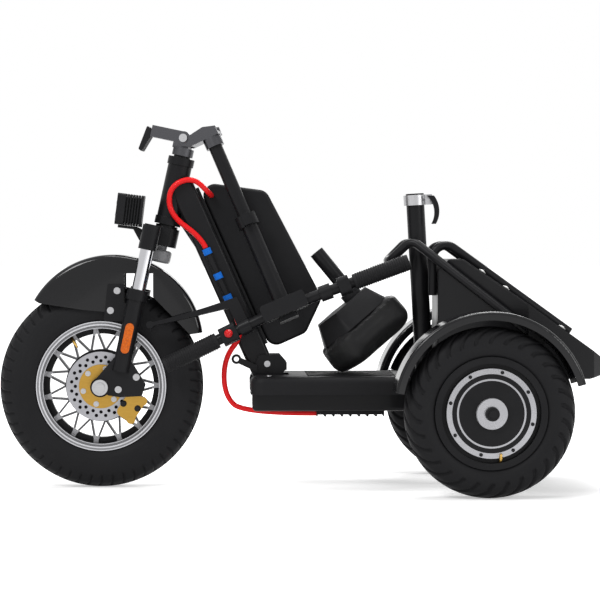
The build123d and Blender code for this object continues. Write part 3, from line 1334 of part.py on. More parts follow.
# Rear wheels and mudguards, left and right
for side, name in ((-1, "left"), (1, "right")):
    centre = rear_axle + Vector(0, side * REAR_TRACK / 2, 0)
    wheel = Plane(origin=centre)
    spin = Axis(centre, (0, 1, 0))
    with BuildPart() as tyre:
        with BuildSketch(wheel):
            with BuildLine():
                bead = REAR_RIM_HALF - REAR_FLANGE_T - 8
                shoulder_r = REAR_TYRE_R - 9
                shoulder = REAR_TYRE_W / 2 - 11
                belly_r = (REAR_BEAD_R + REAR_TYRE_R) / 2
                half = REAR_TYRE_W / 2
                ThreePointArc((REAR_BEAD_R, -bead), (belly_r, -half), (shoulder_r, -shoulder))
                ThreePointArc((shoulder_r, -shoulder), (REAR_TYRE_R, 0), (shoulder_r, shoulder))
                ThreePointArc((shoulder_r, shoulder), (belly_r, half), (REAR_BEAD_R, bead))
                Line((REAR_BEAD_R, bead), (REAR_BEAD_R, -bead))
            make_face()
        revolve(axis=spin)
    keep(tyre.part, "rear_tyre_" + name)
    with BuildPart() as hub:
        with BuildSketch(wheel):
            with BuildLine():
                Polyline(
                    (REAR_AXLE_R + RUN, MOTOR_CAP_HALF),
                    (MOTOR_CAP_R, MOTOR_CAP_HALF),
                    (MOTOR_CAP_R, MOTOR_HALF),
                    (MOTOR_R, MOTOR_HALF - 4),
                    (MOTOR_R, 26),
                    (REAR_BEAD_R - REAR_RIM_WALL, 26),
                    (REAR_BEAD_R - REAR_RIM_WALL, REAR_RIM_HALF),
                    (REAR_FLANGE_R, REAR_RIM_HALF),
                    (REAR_FLANGE_R, REAR_RIM_HALF - REAR_FLANGE_T),
                    (REAR_BEAD_R - SEAT, REAR_RIM_HALF - REAR_FLANGE_T),
                    (REAR_BEAD_R - SEAT, 0),
                    (REAR_AXLE_R + RUN, 0),
                    close=True,
                )
            make_face()
            mirror(about=Plane.XZ)
        revolve(axis=spin)
    keep(hub.part, "rear_hub_" + name)
    guard_centre = centre + Vector(0, REAR_GUARD_HALF, REAR_GUARD_RISE)
    guard_face = Plane(origin=guard_centre, x_dir=(1, 0, 0), z_dir=(0, -1, 0))
    with BuildPart() as guard:
        with BuildSketch(guard_face):
            with BuildLine():
                middle = (REAR_GUARD_FRONT + REAR_GUARD_BACK) / 2
                outer = [guard_point(a, REAR_GUARD_R) for a in (REAR_GUARD_FRONT, middle, REAR_GUARD_BACK)]
                low = REAR_GUARD_R - REAR_GUARD_LIP
                under = [guard_point(a, low) for a in (REAR_GUARD_FRONT, middle, REAR_GUARD_BACK)]
                ThreePointArc(*outer)
                Line(outer[2], under[2])
                ThreePointArc(*under[::-1])
                Line(under[0], outer[0])
            make_face()
        extrude(amount=2 * REAR_GUARD_HALF)
        crest = guard.edges().filter_by(GeomType.CIRCLE).sort_by(SortBy.RADIUS)[-2:]
        fillet(crest, REAR_GUARD_EDGE)
        with BuildSketch(guard_face.offset(REAR_GUARD_T)):
            Circle(REAR_GUARD_R - REAR_GUARD_T)
        extrude(amount=2 * (REAR_GUARD_HALF - REAR_GUARD_T), mode=Mode.SUBTRACT)
        stay_in = TUB_HALF + SEAT
        stay_out = REAR_TRACK / 2 - REAR_GUARD_HALF + REAR_GUARD_T
        stay = guard_point(REAR_GUARD_STAY_ANGLE, REAR_GUARD_R - REAR_GUARD_LIP / 2)
        turn = guard_point(REAR_GUARD_STAY_ANGLE + 90, 1)
        stay_foot = Vector(REAR_AXLE_X + stay.X, side * stay_in, REAR_TYRE_R + REAR_GUARD_RISE + stay.Y)
        with BuildSketch(Plane(origin=stay_foot, x_dir=(turn.X, 0, turn.Y), z_dir=(0, side, 0))):
            Rectangle(REAR_GUARD_STAY_W, REAR_GUARD_LIP / 2)
        extrude(amount=stay_out - stay_in)
    keep(guard.part, "rear_mudguard_" + name)
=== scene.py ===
"""Folding electric trike: finishes, tyres, fasteners, leads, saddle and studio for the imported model."""
import logging
from dataclasses import dataclass
from enum import Enum
from math import atan2, cos, pi, radians, sin
from typing import Iterable, Sequence

import bmesh
import bpy
import numpy as np
from mathutils import Matrix, Vector


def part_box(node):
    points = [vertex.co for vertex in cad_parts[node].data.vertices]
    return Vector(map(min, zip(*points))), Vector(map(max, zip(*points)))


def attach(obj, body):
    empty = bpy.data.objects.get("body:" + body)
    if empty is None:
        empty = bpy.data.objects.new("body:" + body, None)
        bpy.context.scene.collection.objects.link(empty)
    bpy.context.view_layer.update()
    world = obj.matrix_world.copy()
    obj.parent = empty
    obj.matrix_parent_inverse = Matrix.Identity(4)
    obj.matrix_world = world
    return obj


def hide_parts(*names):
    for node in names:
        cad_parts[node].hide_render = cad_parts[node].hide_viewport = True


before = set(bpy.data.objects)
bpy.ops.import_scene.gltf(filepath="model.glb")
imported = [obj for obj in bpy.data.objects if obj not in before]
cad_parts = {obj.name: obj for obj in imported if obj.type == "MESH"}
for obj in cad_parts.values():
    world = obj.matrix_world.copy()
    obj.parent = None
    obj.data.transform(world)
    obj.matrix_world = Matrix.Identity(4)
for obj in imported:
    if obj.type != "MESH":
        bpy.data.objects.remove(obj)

LOG = logging.getLogger("trike")
Flat = tuple[float, float]
Point = tuple[float, float, float]
Colour = tuple[float, float, float]
Band = tuple[float, float, float]
Socket = bpy.types.NodeSocket
Material = bpy.types.Material
Mesh = bpy.types.Mesh
Piece = bpy.types.Object

NEAR = (0, -1, 0)
FAR = (0, 1, 0)
UP = (0, 0, 1)
MERGE = 1e-6


def black(level: float) -> Colour:
    """A near black with a trace of blue."""
    return (level, level, level + 0.001)


class Body(Enum):
    """The rigid bodies that pieces ride on."""

    CHASSIS = "chassis"
    FORK = "fork"
    FRONT_WHEEL = "front_wheel"
    BAR = "bar"
    REAR_LEFT = "rear_wheel_left"
    REAR_RIGHT = "rear_wheel_right"


class Head(Enum):
    """The shapes of fastener head, by the sides that each is made with."""

    SOCKET = 18
    DOME = 14


class Shader:
    """A material's node tree, with short calls for the nodes that the finishes share."""

    def __init__(self, name: str) -> None:
        """Starts a material that holds one Principled shader.

        Args:
            name: the material's name.
        """
        self.material = bpy.data.materials.new(name)
        self.material.use_nodes = True
        self.tree = self.material.node_tree
        self.tree.nodes.clear()
        self.output = self.tree.nodes.new("ShaderNodeOutputMaterial")
        self.surface = self.tree.nodes.new("ShaderNodeBsdfPrincipled")
        self.link(self.surface.outputs["BSDF"], self.output.inputs["Surface"])
        self.coords = self.tree.nodes.new("ShaderNodeTexCoord")

    def link(self, source: Socket, target: Socket) -> None:
        """Joins two sockets."""
        self.tree.links.new(source, target)

    def set(self, **values: float | tuple) -> None:
        """Sets constant values on the shader's own sockets, with spaces written as underscores."""
        for name, value in values.items():
            self.surface.inputs[name.replace("_", " ")].default_value = value

    def place(self, scale: Point = (1, 1, 1), move: Point = (0, 0, 0)) -> Socket:
        """Object coordinates, moved and then scaled.

        Args:
            scale: the factor along each axis.
            move: the offset that is added first.

        Returns:
            The vector socket.
        """
        vector = self.coords.outputs["Object"]
        for operation, amount in (("ADD", move), ("MULTIPLY", scale)):
            node = self.tree.nodes.new("ShaderNodeVectorMath")
            node.operation = operation
            node.inputs[1].default_value = amount
            self.link(vector, node.inputs[0])
            vector = node.outputs[0]
        return vector

    def noise(self, vector: Socket, scale: float, detail: float) -> Socket:
        """A noise value from a vector."""
        node = self.tree.nodes.new("ShaderNodeTexNoise")
        node.inputs["Scale"].default_value = scale
        node.inputs["Detail"].default_value = detail
        self.link(vector, node.inputs["Vector"])
        return node.outputs[0]

    def cells(self, vector: Socket, scale: float) -> Socket:
        """The distance to the nearest point of a cell pattern."""
        node = self.tree.nodes.new("ShaderNodeTexVoronoi")
        node.inputs["Scale"].default_value = scale
        self.link(vector, node.inputs["Vector"])
        return node.outputs["Distance"]

    def maths(self, operation: str, a: Socket | float, b: Socket | float) -> Socket:
        """One sum of two values.

        Args:
            operation: the node's operation.
            a: the first value or socket.
            b: the second value or socket.

        Returns:
            The result's socket.
        """
        node = self.tree.nodes.new("ShaderNodeMath")
        node.operation = operation
        for place, value in enumerate((a, b)):
            if isinstance(value, (int, float)):
                node.inputs[place].default_value = value
            else:
                self.link(value, node.inputs[place])
        return node.outputs[0]

    def between(self, value: Socket, low: float, high: float) -> Socket:
        """One where a value lies in a band, and zero outside it."""
        above = self.maths("GREATER_THAN", value, low)
        return self.maths("MULTIPLY", above, self.maths("LESS_THAN", value, high))

    def spread(self, value: Socket, low: float, high: float) -> Socket:
        """A value from zero to one, spread over another range."""
        node = self.tree.nodes.new("ShaderNodeMapRange")
        node.inputs["To Min"].default_value = low
        node.inputs["To Max"].default_value = high
        self.link(value, node.inputs["Value"])
        return node.outputs[0]

    def mix(self, share: Socket, first: Colour | Socket, second: Colour) -> Socket:
        """Two colours mixed by a share."""
        node = self.tree.nodes.new("ShaderNodeMix")
        node.data_type = "RGBA"
        self.link(share, node.inputs["Factor"])
        if isinstance(first, tuple):
            node.inputs[6].default_value = (*first, 1)
        else:
            self.link(first, node.inputs[6])
        node.inputs[7].default_value = (*second, 1)
        return node.outputs[2]

    def vary(self, pattern: Socket, first: Colour, second: Colour, roughness: Flat) -> None:
        """Lets a pattern lead the surface's colour and gloss.

        Args:
            pattern: a value from zero to one.
            first: the colour where it is zero.
            second: the colour where it is one.
            roughness: the roughness at zero and at one.
        """
        self.link(self.mix(pattern, first, second), self.surface.inputs["Base Color"])
        self.link(self.spread(pattern, *roughness), self.surface.inputs["Roughness"])

    def bump(self, height: Socket, strength: float, distance: float, edge: float = 0.0) -> None:
        """Raises the surface by a height value, with its edges shaded as rounded.

        Args:
            height: the height's socket.
            strength: how much of it shows.
            distance: its depth in metres.
            edge: the radius in metres that edges are shaded with, or zero for sharp ones.
        """
        node = self.tree.nodes.new("ShaderNodeBump")
        node.inputs["Strength"].default_value = strength
        node.inputs["Distance"].default_value = distance
        self.link(height, node.inputs["Height"])
        if edge:
            rounded = self.tree.nodes.new("ShaderNodeBevel")
            rounded.inputs["Radius"].default_value = edge
            self.link(rounded.outputs[0], node.inputs["Normal"])
        self.link(node.outputs[0], self.surface.inputs["Normal"])

    def radius(self, centre: Point) -> Socket:
        """The distance in millimetres from an axle that runs across the trike."""
        flat = self.place((1000, 0, 1000), tuple(-c for c in centre))
        node = self.tree.nodes.new("ShaderNodeVectorMath")
        node.operation = "LENGTH"
        self.link(flat, node.inputs[0])
        return node.outputs["Value"]

    def sideways(self, coordinate: str) -> Socket:
        """The size of a coordinate's part across the trike.

        Args:
            coordinate: Object for the distance in metres from the middle plane, or Normal for how squarely
                the surface faces the trike's sides, from zero to one.

        Returns:
            The value's socket.
        """
        split = self.tree.nodes.new("ShaderNodeSeparateXYZ")
        self.link(self.coords.outputs[coordinate], split.inputs[0])
        return self.maths("ABSOLUTE", split.outputs["Y"], 0.0)

    def lathe(self, share: float) -> None:
        """Stretches highlights as on a face turned about an axle across the trike.

        Args:
            share: how far they stretch, from zero to one.
        """
        around = self.tree.nodes.new("ShaderNodeTangent")
        around.direction_type = "RADIAL"
        around.axis = "Y"
        self.link(around.outputs[0], self.surface.inputs["Tangent"])
        self.surface.inputs["Anisotropic"].default_value = share


@dataclass(frozen=True)
class Coating:
    """A paint, moulding or rubber: one colour with a fine grain and uneven gloss."""

    name: str
    colour: Colour
    worn: Colour
    roughness: Flat
    grain: float
    depth: float
    coat: float = 0.0
    specular: float = 0.1
    edge: float = 0.0012
    patches: float = 14.0
    shows: float = 0.35
    coat_roughness: float = 0.06

    def material(self) -> Material:
        """Builds the finish as a material."""
        shader = Shader(self.name)
        where = shader.place()
        shader.vary(shader.noise(where, self.patches, detail=5.0), self.colour, self.worn, self.roughness)
        shader.bump(shader.noise(where, self.grain, detail=2.0), self.shows, self.depth, self.edge)
        shader.set(Coat_Weight=self.coat, Coat_Roughness=self.coat_roughness)
        shader.set(Specular_IOR_Level=self.specular)
        return shader.material


@dataclass(frozen=True)
class BareMetal:
    """A metal with fine brushed lines along one axis, or with an even grain on turned faces."""

    name: str
    colour: Colour
    dull: Colour
    roughness: Flat
    brushed: Point = (60.0, 900.0, 900.0)
    turned: float = 0.0

    def material(self) -> Material:
        """Builds the finish as a material."""
        shader = Shader(self.name)
        lines = shader.noise(shader.place(self.brushed), 1.0, detail=2.0)
        shader.vary(lines, self.colour, self.dull, self.roughness)
        shader.bump(lines, strength=0.08, distance=0.0002)
        shader.set(Metallic=1.0)
        if self.turned:
            shader.lathe(self.turned)
        return shader.material


@dataclass(frozen=True)
class MachinedWheel:
    """Black paint with bright faces: the rim's lip and spokes, or rings cut on a hub."""

    name: str
    centre: Point
    bands: tuple[Band, ...]
    proud: float = 0.0
    paint: Colour = black(0.006)
    worn: Colour = black(0.014)
    bright: Colour = (0.46, 0.46, 0.48)
    turned: float = 0.7
    facing: float = 0.8
    ridges: float = 9.0
    patches: float = 18.0
    roughness: Flat = (0.3, 0.42)
    polish: float = 0.08

    def material(self) -> Material:
        """Builds the finish as a material, bright by each band's share where a side face stands proud."""
        shader = Shader(self.name)
        radius = shader.radius(self.centre)
        cut = 0.0
        for low, high, share in self.bands:
            band = shader.maths("MULTIPLY", shader.between(radius, low, high), share)
            cut = shader.maths("MAXIMUM", cut, band)
        for coordinate, least in (("Normal", self.facing), ("Object", self.proud)):
            passes = shader.maths("GREATER_THAN", shader.sideways(coordinate), least)
            cut = shader.maths("MULTIPLY", cut, passes)
        ridges = shader.maths("SINE", shader.maths("MULTIPLY", radius, self.ridges), 0.0)
        cloud = shader.noise(shader.place(), self.patches, detail=4.0)
        dark = shader.mix(cloud, self.paint, self.worn)
        shader.link(shader.mix(cut, dark, self.bright), shader.surface.inputs["Base Color"])
        shader.link(cut, shader.surface.inputs["Metallic"])
        polish = shader.maths("MULTIPLY", cut, self.polish)
        rough = shader.maths("SUBTRACT", shader.spread(cloud, *self.roughness), polish)
        shader.link(rough, shader.surface.inputs["Roughness"])
        shader.bump(shader.maths("MULTIPLY", ridges, cut), strength=0.1, distance=0.0003)
        shader.lathe(self.turned)
        shader.set(Specular_IOR_Level=0.1)
        return shader.material


@dataclass(frozen=True)
class Vinyl:
    """Black padded vinyl with a pebbled grain."""

    name: str
    colour: Colour
    worn: Colour = (0.016, 0.016, 0.016)
    roughness: Flat = (0.42, 0.58)
    patches: float = 9.0
    pebbles: float = 420.0

    def material(self) -> Material:
        """Builds the finish as a material."""
        shader = Shader(self.name)
        where = shader.place()
        shader.vary(shader.noise(where, self.patches, detail=4.0), self.colour, self.worn, self.roughness)
        shader.bump(shader.cells(where, self.pebbles), strength=0.4, distance=0.0006)
        shader.set(Sheen_Weight=0.04, Specular_IOR_Level=0.14)
        return shader.material


@dataclass(frozen=True)
class Lens:
    """A clear or coloured moulded lens with a fine prism pattern, which emits a painted glow in its own
    colour where glow is above zero.
    """

    name: str
    colour: Colour
    # Emission strength in the lens's own colour: painted light, since a lens or reflector is no lamp
    glow: float = 0.0
    shade: float = 0.55
    roughness: Flat = (0.12, 0.3)
    prisms: float = 300.0

    def material(self) -> Material:
        """Builds the finish as a material."""
        shader = Shader(self.name)
        prism = shader.cells(shader.place(), self.prisms)
        shader.vary(prism, self.colour, tuple(c * self.shade for c in self.colour), self.roughness)
        shader.bump(prism, strength=0.5, distance=0.0008)
        shader.set(Coat_Weight=0.12, Specular_IOR_Level=0.2)
        # Painted light: the lens emits its own colour by its glow
        shader.set(Emission_Color=(*self.colour, 1), Emission_Strength=self.glow)
        return shader.material


Finish = Coating | BareMetal | MachinedWheel | Vinyl | Lens

FRONT_AXLE = (-0.4, 0.0, 0.2075)
REAR_AXLE = (0.368, 0.0, 0.168)
EVEN_GRAIN = (700.0, 700.0, 700.0)

RUBBER = Coating("tyre_rubber", black(0.008), black(0.014), (0.5, 0.64), 260.0, 0.0004)
GRIP_RUBBER = Coating("grip_rubber", black(0.01), black(0.018), (0.52, 0.68), 420.0, 0.0004)
SATIN = Coating("satin_black_paint", black(0.006), black(0.011), (0.3, 0.42), 500.0, 0.0002, coat=0.04)
GLOSS = Coating(
    "gloss_black_moulding", black(0.004), black(0.007), (0.08, 0.16), 60.0, 0.0001,
    coat=0.3, specular=0.14, edge=0.003,
)
GRAINED = Coating("grained_black_plastic", black(0.008), black(0.014), (0.42, 0.58), 620.0, 0.0004)
TUB_SHELL = Coating(
    "tub_shell", black(0.005), black(0.01), (0.24, 0.38), 300.0, 0.0002,
    coat=0.05, specular=0.14, edge=0.006,
)
TREADPLATE = Coating("deck_rubber", black(0.008), black(0.014), (0.48, 0.62), 380.0, 0.0005)
GREY = Coating("grey_enamel", (0.2, 0.2, 0.21), (0.28, 0.28, 0.29), (0.25, 0.4), 200.0, 0.0002, coat=0.2)
WHITE = Coating("white_plug", (0.75, 0.75, 0.74), (0.66, 0.66, 0.65), (0.3, 0.45), 300.0, 0.0001)
RED_SLEEVE = Coating(
    "red_lead_sleeve", (0.78, 0.014, 0.016), (0.66, 0.01, 0.012), (0.3, 0.45), 500.0, 0.0002, coat=0.1
)
BLUE_SHELL = Coating("blue_connector", (0.012, 0.17, 0.68), (0.01, 0.14, 0.56), (0.32, 0.46), 400.0, 0.0002)
DARK_SCREW = Coating("dark_screws", black(0.01), black(0.02), (0.4, 0.55), 500.0, 0.0002)
RED_BUTTON = Coating(
    "red_button", (0.6, 0.01, 0.012), (0.5, 0.008, 0.01), (0.25, 0.35), 300.0, 0.0001, coat=0.3
)
SILVER = BareMetal("bright_aluminium", (0.46, 0.46, 0.47), (0.36, 0.36, 0.37), (0.24, 0.38))
CAST_GREY = BareMetal("cast_hinge", (0.075, 0.075, 0.08), (0.055, 0.055, 0.06), (0.3, 0.44))
DISC = BareMetal("disc_steel", (0.33, 0.33, 0.35), (0.27, 0.27, 0.285), (0.24, 0.38), EVEN_GRAIN, turned=0.7)
GOLD = BareMetal("gold_anodising", (0.4, 0.24, 0.05), (0.32, 0.185, 0.036), (0.28, 0.42))
CHROME = BareMetal("polished_tube", (0.56, 0.56, 0.58), (0.5, 0.5, 0.52), (0.08, 0.16))
BRASS = BareMetal("valve_brass", (0.6, 0.38, 0.1), (0.5, 0.31, 0.08), (0.25, 0.4))
STEEL = BareMetal("zinc_bolts", (0.42, 0.42, 0.43), (0.33, 0.33, 0.34), (0.28, 0.42))
VINYL = Vinyl("padded_vinyl", black(0.007))
# The amber reflector has a painted glow: it emits a little light of its own though it is no lamp
AMBER = Lens("amber_reflector", (0.7, 0.13, 0.001), glow=0.04)
CLEAR = Lens("lamp_lens", (0.7, 0.72, 0.75))
# Each band gives an inner and an outer radius in millimetres, and the share of the bright face that shows
RIM = MachinedWheel(
    "machined_rim", FRONT_AXLE,
    (
        (116.5, 119.0, 0.85), (119.0, 123.0, 0.3), (123.5, 126.5, 1.0), (126.5, 130.0, 0.42),
        (130.0, 132.5, 1.0), (103.0, 116.5, 0.6), (74.0, 103.0, 0.24),
    ),
    proud=0.0095,
)
HUB = MachinedWheel(
    "motor_hub", REAR_AXLE, ((14.0, 30.5, 1.0), (64.0, 67.5, 1.0), (77.0, 87.5, 1.0)),
    bright=(0.32, 0.32, 0.335),
)

FINISHED: dict[str, Material] = {}


def finish(kind: Finish) -> Material:
    """The material of a finish, built the first time that it is asked for.

    Args:
        kind: the finish.

    Returns:
        Its material.
    """
    if kind.name not in FINISHED:
        FINISHED[kind.name] = kind.material()
    return FINISHED[kind.name]


NODE_FINISHES = {
    SATIN: (
        "fork_crown", "fork_legs", "column", "column_foot", "frame_pan", "rear_frame", "seat_tube",
        "carrier_hoop", "carrier_rails", "bar_sleeve", "handlebar", "bar_clamp", "brake_lever", "lamp_arm",
        "guard_brackets", "battery_rail", "stem_tube", "foot_latch", "seat_post", "seat_lever",
    ),
    GLOSS: ("rear_mudguard_left", "rear_mudguard_right"),
    GRAINED: (
        "battery_pack", "controller_box", "saddle_pan", "switch_box", "throttle_box", "display",
        "hinge_latch", "headlamp", "lead_connector",
    ),
    TUB_SHELL: ("tub",),
    BLUE_SHELL: ("connector_collars",),
    STEEL: ("front_axle",),
    TREADPLATE: ("deck",),
    GREY: ("horn",),
    CAST_GREY: ("hinge_base", "stem_hinge"),
    SILVER: ("hinge_pin", "seat_clamp"),
    DISC: ("brake_disc",),
    GOLD: ("disc_carrier", "brake_caliper"),
    CHROME: ("fork_stanchions",),
    AMBER: ("leg_reflectors",),
    RIM: ("front_rim",),
    HUB: ("rear_hub_left", "rear_hub_right"),
    GRIP_RUBBER: ("grips",),
}


def dress_nodes() -> None:
    """Gives every CAD node that stays in view its finish."""
    for kind, names in NODE_FINISHES.items():
        for name in names:
            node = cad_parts[name]
            node.data.materials.clear()
            node.data.materials.append(finish(kind))
            LOG.info("%s finished as %s", name, kind.name)


def add_piece(name: str, mesh: Mesh, body: Body, smooth: bool = True) -> Piece:
    """Puts a mesh in the scene as a piece that rides a body.

    Args:
        name: the piece's name.
        mesh: its mesh, in place in the trike's frame.
        body: the body that it rides.
        smooth: whether its faces are shaded smooth.

    Returns:
        The new object.
    """
    piece = bpy.data.objects.new(name, mesh)
    bpy.context.scene.collection.objects.link(piece)
    if smooth:
        mesh.polygons.foreach_set("use_smooth", [True] * len(mesh.polygons))
    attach(piece, body.value)
    LOG.info("%s on %s, %d faces", name, body.value, len(mesh.polygons))
    return piece


def plain_mesh(piece: Piece) -> Mesh:
    """The evaluated mesh of an object, free of its modifiers."""
    graph = bpy.context.evaluated_depsgraph_get()
    graph.update()
    return bpy.data.meshes.new_from_object(
        piece.evaluated_get(graph), preserve_all_data_layers=True, depsgraph=graph
    )


class NodeTree:
    """A Geometry Nodes tree with named inputs, made for one kind of repeated detail."""

    def __init__(self, name: str, sizes: dict[str, tuple[str, float | int | tuple]]) -> None:
        """Starts a tree.

        Args:
            name: the tree's name.
            sizes: socket types and default values by input name.
        """
        self.tree = bpy.data.node_groups.new(name, "GeometryNodeTree")
        face = self.tree.interface
        face.new_socket(name="Geometry", in_out="INPUT", socket_type="NodeSocketGeometry")
        self.keys: dict[str, str] = {}
        for title, (kind, value) in sizes.items():
            socket = face.new_socket(name=title, in_out="INPUT", socket_type=kind)
            socket.default_value = value
            self.keys[title] = socket.identifier
        face.new_socket(name="Geometry", in_out="OUTPUT", socket_type="NodeSocketGeometry")
        self.start = self.tree.nodes.new("NodeGroupInput")
        self.end = self.tree.nodes.new("NodeGroupOutput")

    def node(self, kind: str, **links: Socket | float | int | tuple) -> bpy.types.Node:
        """Adds a node and fills its inputs, with spaces written as underscores.

        Args:
            kind: the node's type.
            links: sockets to join or values to set, by input name.

        Returns:
            The node.
        """
        node = self.tree.nodes.new(kind)
        for title, value in links.items():
            socket = node.inputs[title.replace("_", " ")]
            if isinstance(value, Socket):
                self.tree.links.new(value, socket)
            else:
                socket.default_value = value
        return node

    def scaled(self, value: Socket, factor: float) -> Socket:
        """A value times a constant."""
        node = self.tree.nodes.new("ShaderNodeMath")
        node.operation = "MULTIPLY"
        node.inputs[1].default_value = factor
        self.tree.links.new(value, node.inputs[0])
        return node.outputs[0]

    def close(self, geometry: Socket, material: Material) -> None:
        """Ends the tree with real geometry and its material."""
        real = self.node("GeometryNodeRealizeInstances", Geometry=geometry)
        paint = self.node("GeometryNodeSetMaterial", Geometry=real.outputs[0], Material=material)
        self.tree.links.new(paint.outputs[0], self.end.inputs[0])

    def run(self, mesh: Mesh, values: dict[str, float | int | tuple]) -> Mesh:
        """Runs the tree on a mesh.

        Args:
            mesh: the points that the tree reads.
            values: inputs by name.

        Returns:
            The plain mesh that comes out.
        """
        carrier = bpy.data.objects.new("carrier", mesh)
        bpy.context.scene.collection.objects.link(carrier)
        modifier = carrier.modifiers.new("detail", "NODES")
        modifier.node_group = self.tree
        for title, value in values.items():
            modifier[self.keys[title]] = value
        result = plain_mesh(carrier)
        carrier.modifiers.remove(modifier)
        bpy.data.objects.remove(carrier)
        return result


@dataclass
class Fasteners:
    """A set of bolt heads that face one way, each on a washer."""

    name: str
    body: Body
    places: Sequence[Point]
    facing: Point
    radius: float
    height: float
    head: Head = Head.SOCKET
    metal: Finish = STEEL
    slot: str = "silver"
    dome: float = 0.55
    washer: float = 1.35
    washer_depth: float = 0.0012
    mouth: float = 0.56
    sunk: float = 0.7
    stands: float = 0.4

    def build(self) -> Piece:
        """Sets a head on every place and returns the piece."""
        tree = NodeTree(
            self.name + "_tree",
            {
                "Radius": ("NodeSocketFloat", 0.004),
                "Height": ("NodeSocketFloat", 0.003),
                "Turn": ("NodeSocketVector", (0.0, 0.0, 0.0)),
            },
        )
        size, tall, turn = (tree.start.outputs[t] for t in ("Radius", "Height", "Turn"))
        if self.head is Head.SOCKET:
            crown = self.socket_head(tree, size, tall)
        else:
            ball = tree.node("GeometryNodeMeshUVSphere", Segments=self.head.value, Rings=8, Radius=size)
            crown = tree.node("GeometryNodeTransform", Geometry=ball.outputs[0], Scale=(1.0, 1.0, self.dome))
        wide = tree.scaled(size, self.washer)
        washer = tree.node("GeometryNodeMeshCylinder", Vertices=16, Radius=wide, Depth=self.washer_depth)
        both = tree.node("GeometryNodeJoinGeometry")
        tree.tree.links.new(crown.outputs[0], both.inputs[0])
        tree.tree.links.new(washer.outputs[0], both.inputs[0])
        where = tree.start.outputs["Geometry"]
        spots = tree.node(
            "GeometryNodeInstanceOnPoints", Points=where, Instance=both.outputs[0], Rotation=turn
        )
        tree.close(spots.outputs[0], finish(self.metal))
        out = Vector(self.facing).normalized()
        points = bpy.data.meshes.new(self.name + "_places")
        points.from_pydata([tuple(Vector(p) + out * self.height * self.stands) for p in self.places], [], [])
        angles = tuple(out.to_track_quat("Z", "Y").to_euler())
        mesh = tree.run(points, {"Radius": self.radius, "Height": self.height, "Turn": angles})
        return add_piece(self.name, mesh, self.body, smooth=self.head is Head.DOME)

    def socket_head(self, tree: NodeTree, size: Socket, tall: Socket) -> bpy.types.Node:
        """A round head with a key socket sunk in its top.

        Args:
            tree: the tree that the head is made in.
            size: the head's radius.
            tall: the head's height.

        Returns:
            The node that gives the head.
        """
        drum = tree.node("GeometryNodeMeshCylinder", Vertices=self.head.value, Radius=size, Depth=tall)
        top = drum.outputs["Top"]
        inset = tree.node("GeometryNodeExtrudeMesh", Mesh=drum.outputs[0], Selection=top, Offset_Scale=0.0)
        mouth = inset.outputs["Top"]
        narrow = tree.node(
            "GeometryNodeScaleElements", Geometry=inset.outputs[0], Selection=mouth, Scale=self.mouth
        )
        down = tree.scaled(tall, -self.sunk)
        return tree.node(
            "GeometryNodeExtrudeMesh", Mesh=narrow.outputs[0], Selection=mouth, Offset_Scale=down
        )


def ring_of(centre: Point, radius: float, count: int, start: float) -> list[Point]:
    """Places round an axle that runs across the trike.

    Args:
        centre: the ring's middle.
        radius: its radius in metres.
        count: how many places.
        start: the first place's angle in degrees.

    Returns:
        The places.
    """
    angles = [radians(start) + 2 * pi * i / count for i in range(count)]
    return [(centre[0] + radius * cos(a), centre[1], centre[2] + radius * sin(a)) for a in angles]


def arc_through(first: Flat, middle: Flat, last: Flat, count: int) -> np.ndarray:
    """Points along the arc that passes through three points.

    Args:
        first: where it starts.
        middle: a point that it passes.
        last: where it ends.
        count: how many points.

    Returns:
        The points, one to a row.
    """
    a, b, c = (np.array(p, float) for p in (first, middle, last))
    lhs = np.array([b - a, c - a]) * 2
    centre = np.linalg.solve(lhs, np.array([b @ b - a @ a, c @ c - a @ a]))
    start, mid, end = (atan2(*(p - centre)[::-1]) for p in (a, b, c))
    turn = (end - start) % (2 * pi)
    if (mid - start) % (2 * pi) > turn:
        turn -= 2 * pi
    angles = start + turn * np.linspace(0, 1, count)
    return centre + np.linalg.norm(a - centre) * np.stack([np.cos(angles), np.sin(angles)], axis=1)


@dataclass(frozen=True)
class Pattern:
    """A tread's side grooves, and its lines round the tyre."""

    down: float
    count: int
    lean: float
    sweep: float
    width: float
    lines: tuple[float, ...]


class Tread(Enum):
    """The tyres' tread patterns."""

    ROAD = Pattern(down=2.4, count=54, lean=0.055, sweep=1.0, width=0.0028, lines=(-0.42, 0.0, 0.42))
    SWEPT = Pattern(down=3.5, count=30, lean=0.2, sweep=1.6, width=0.0052, lines=(0.0,))


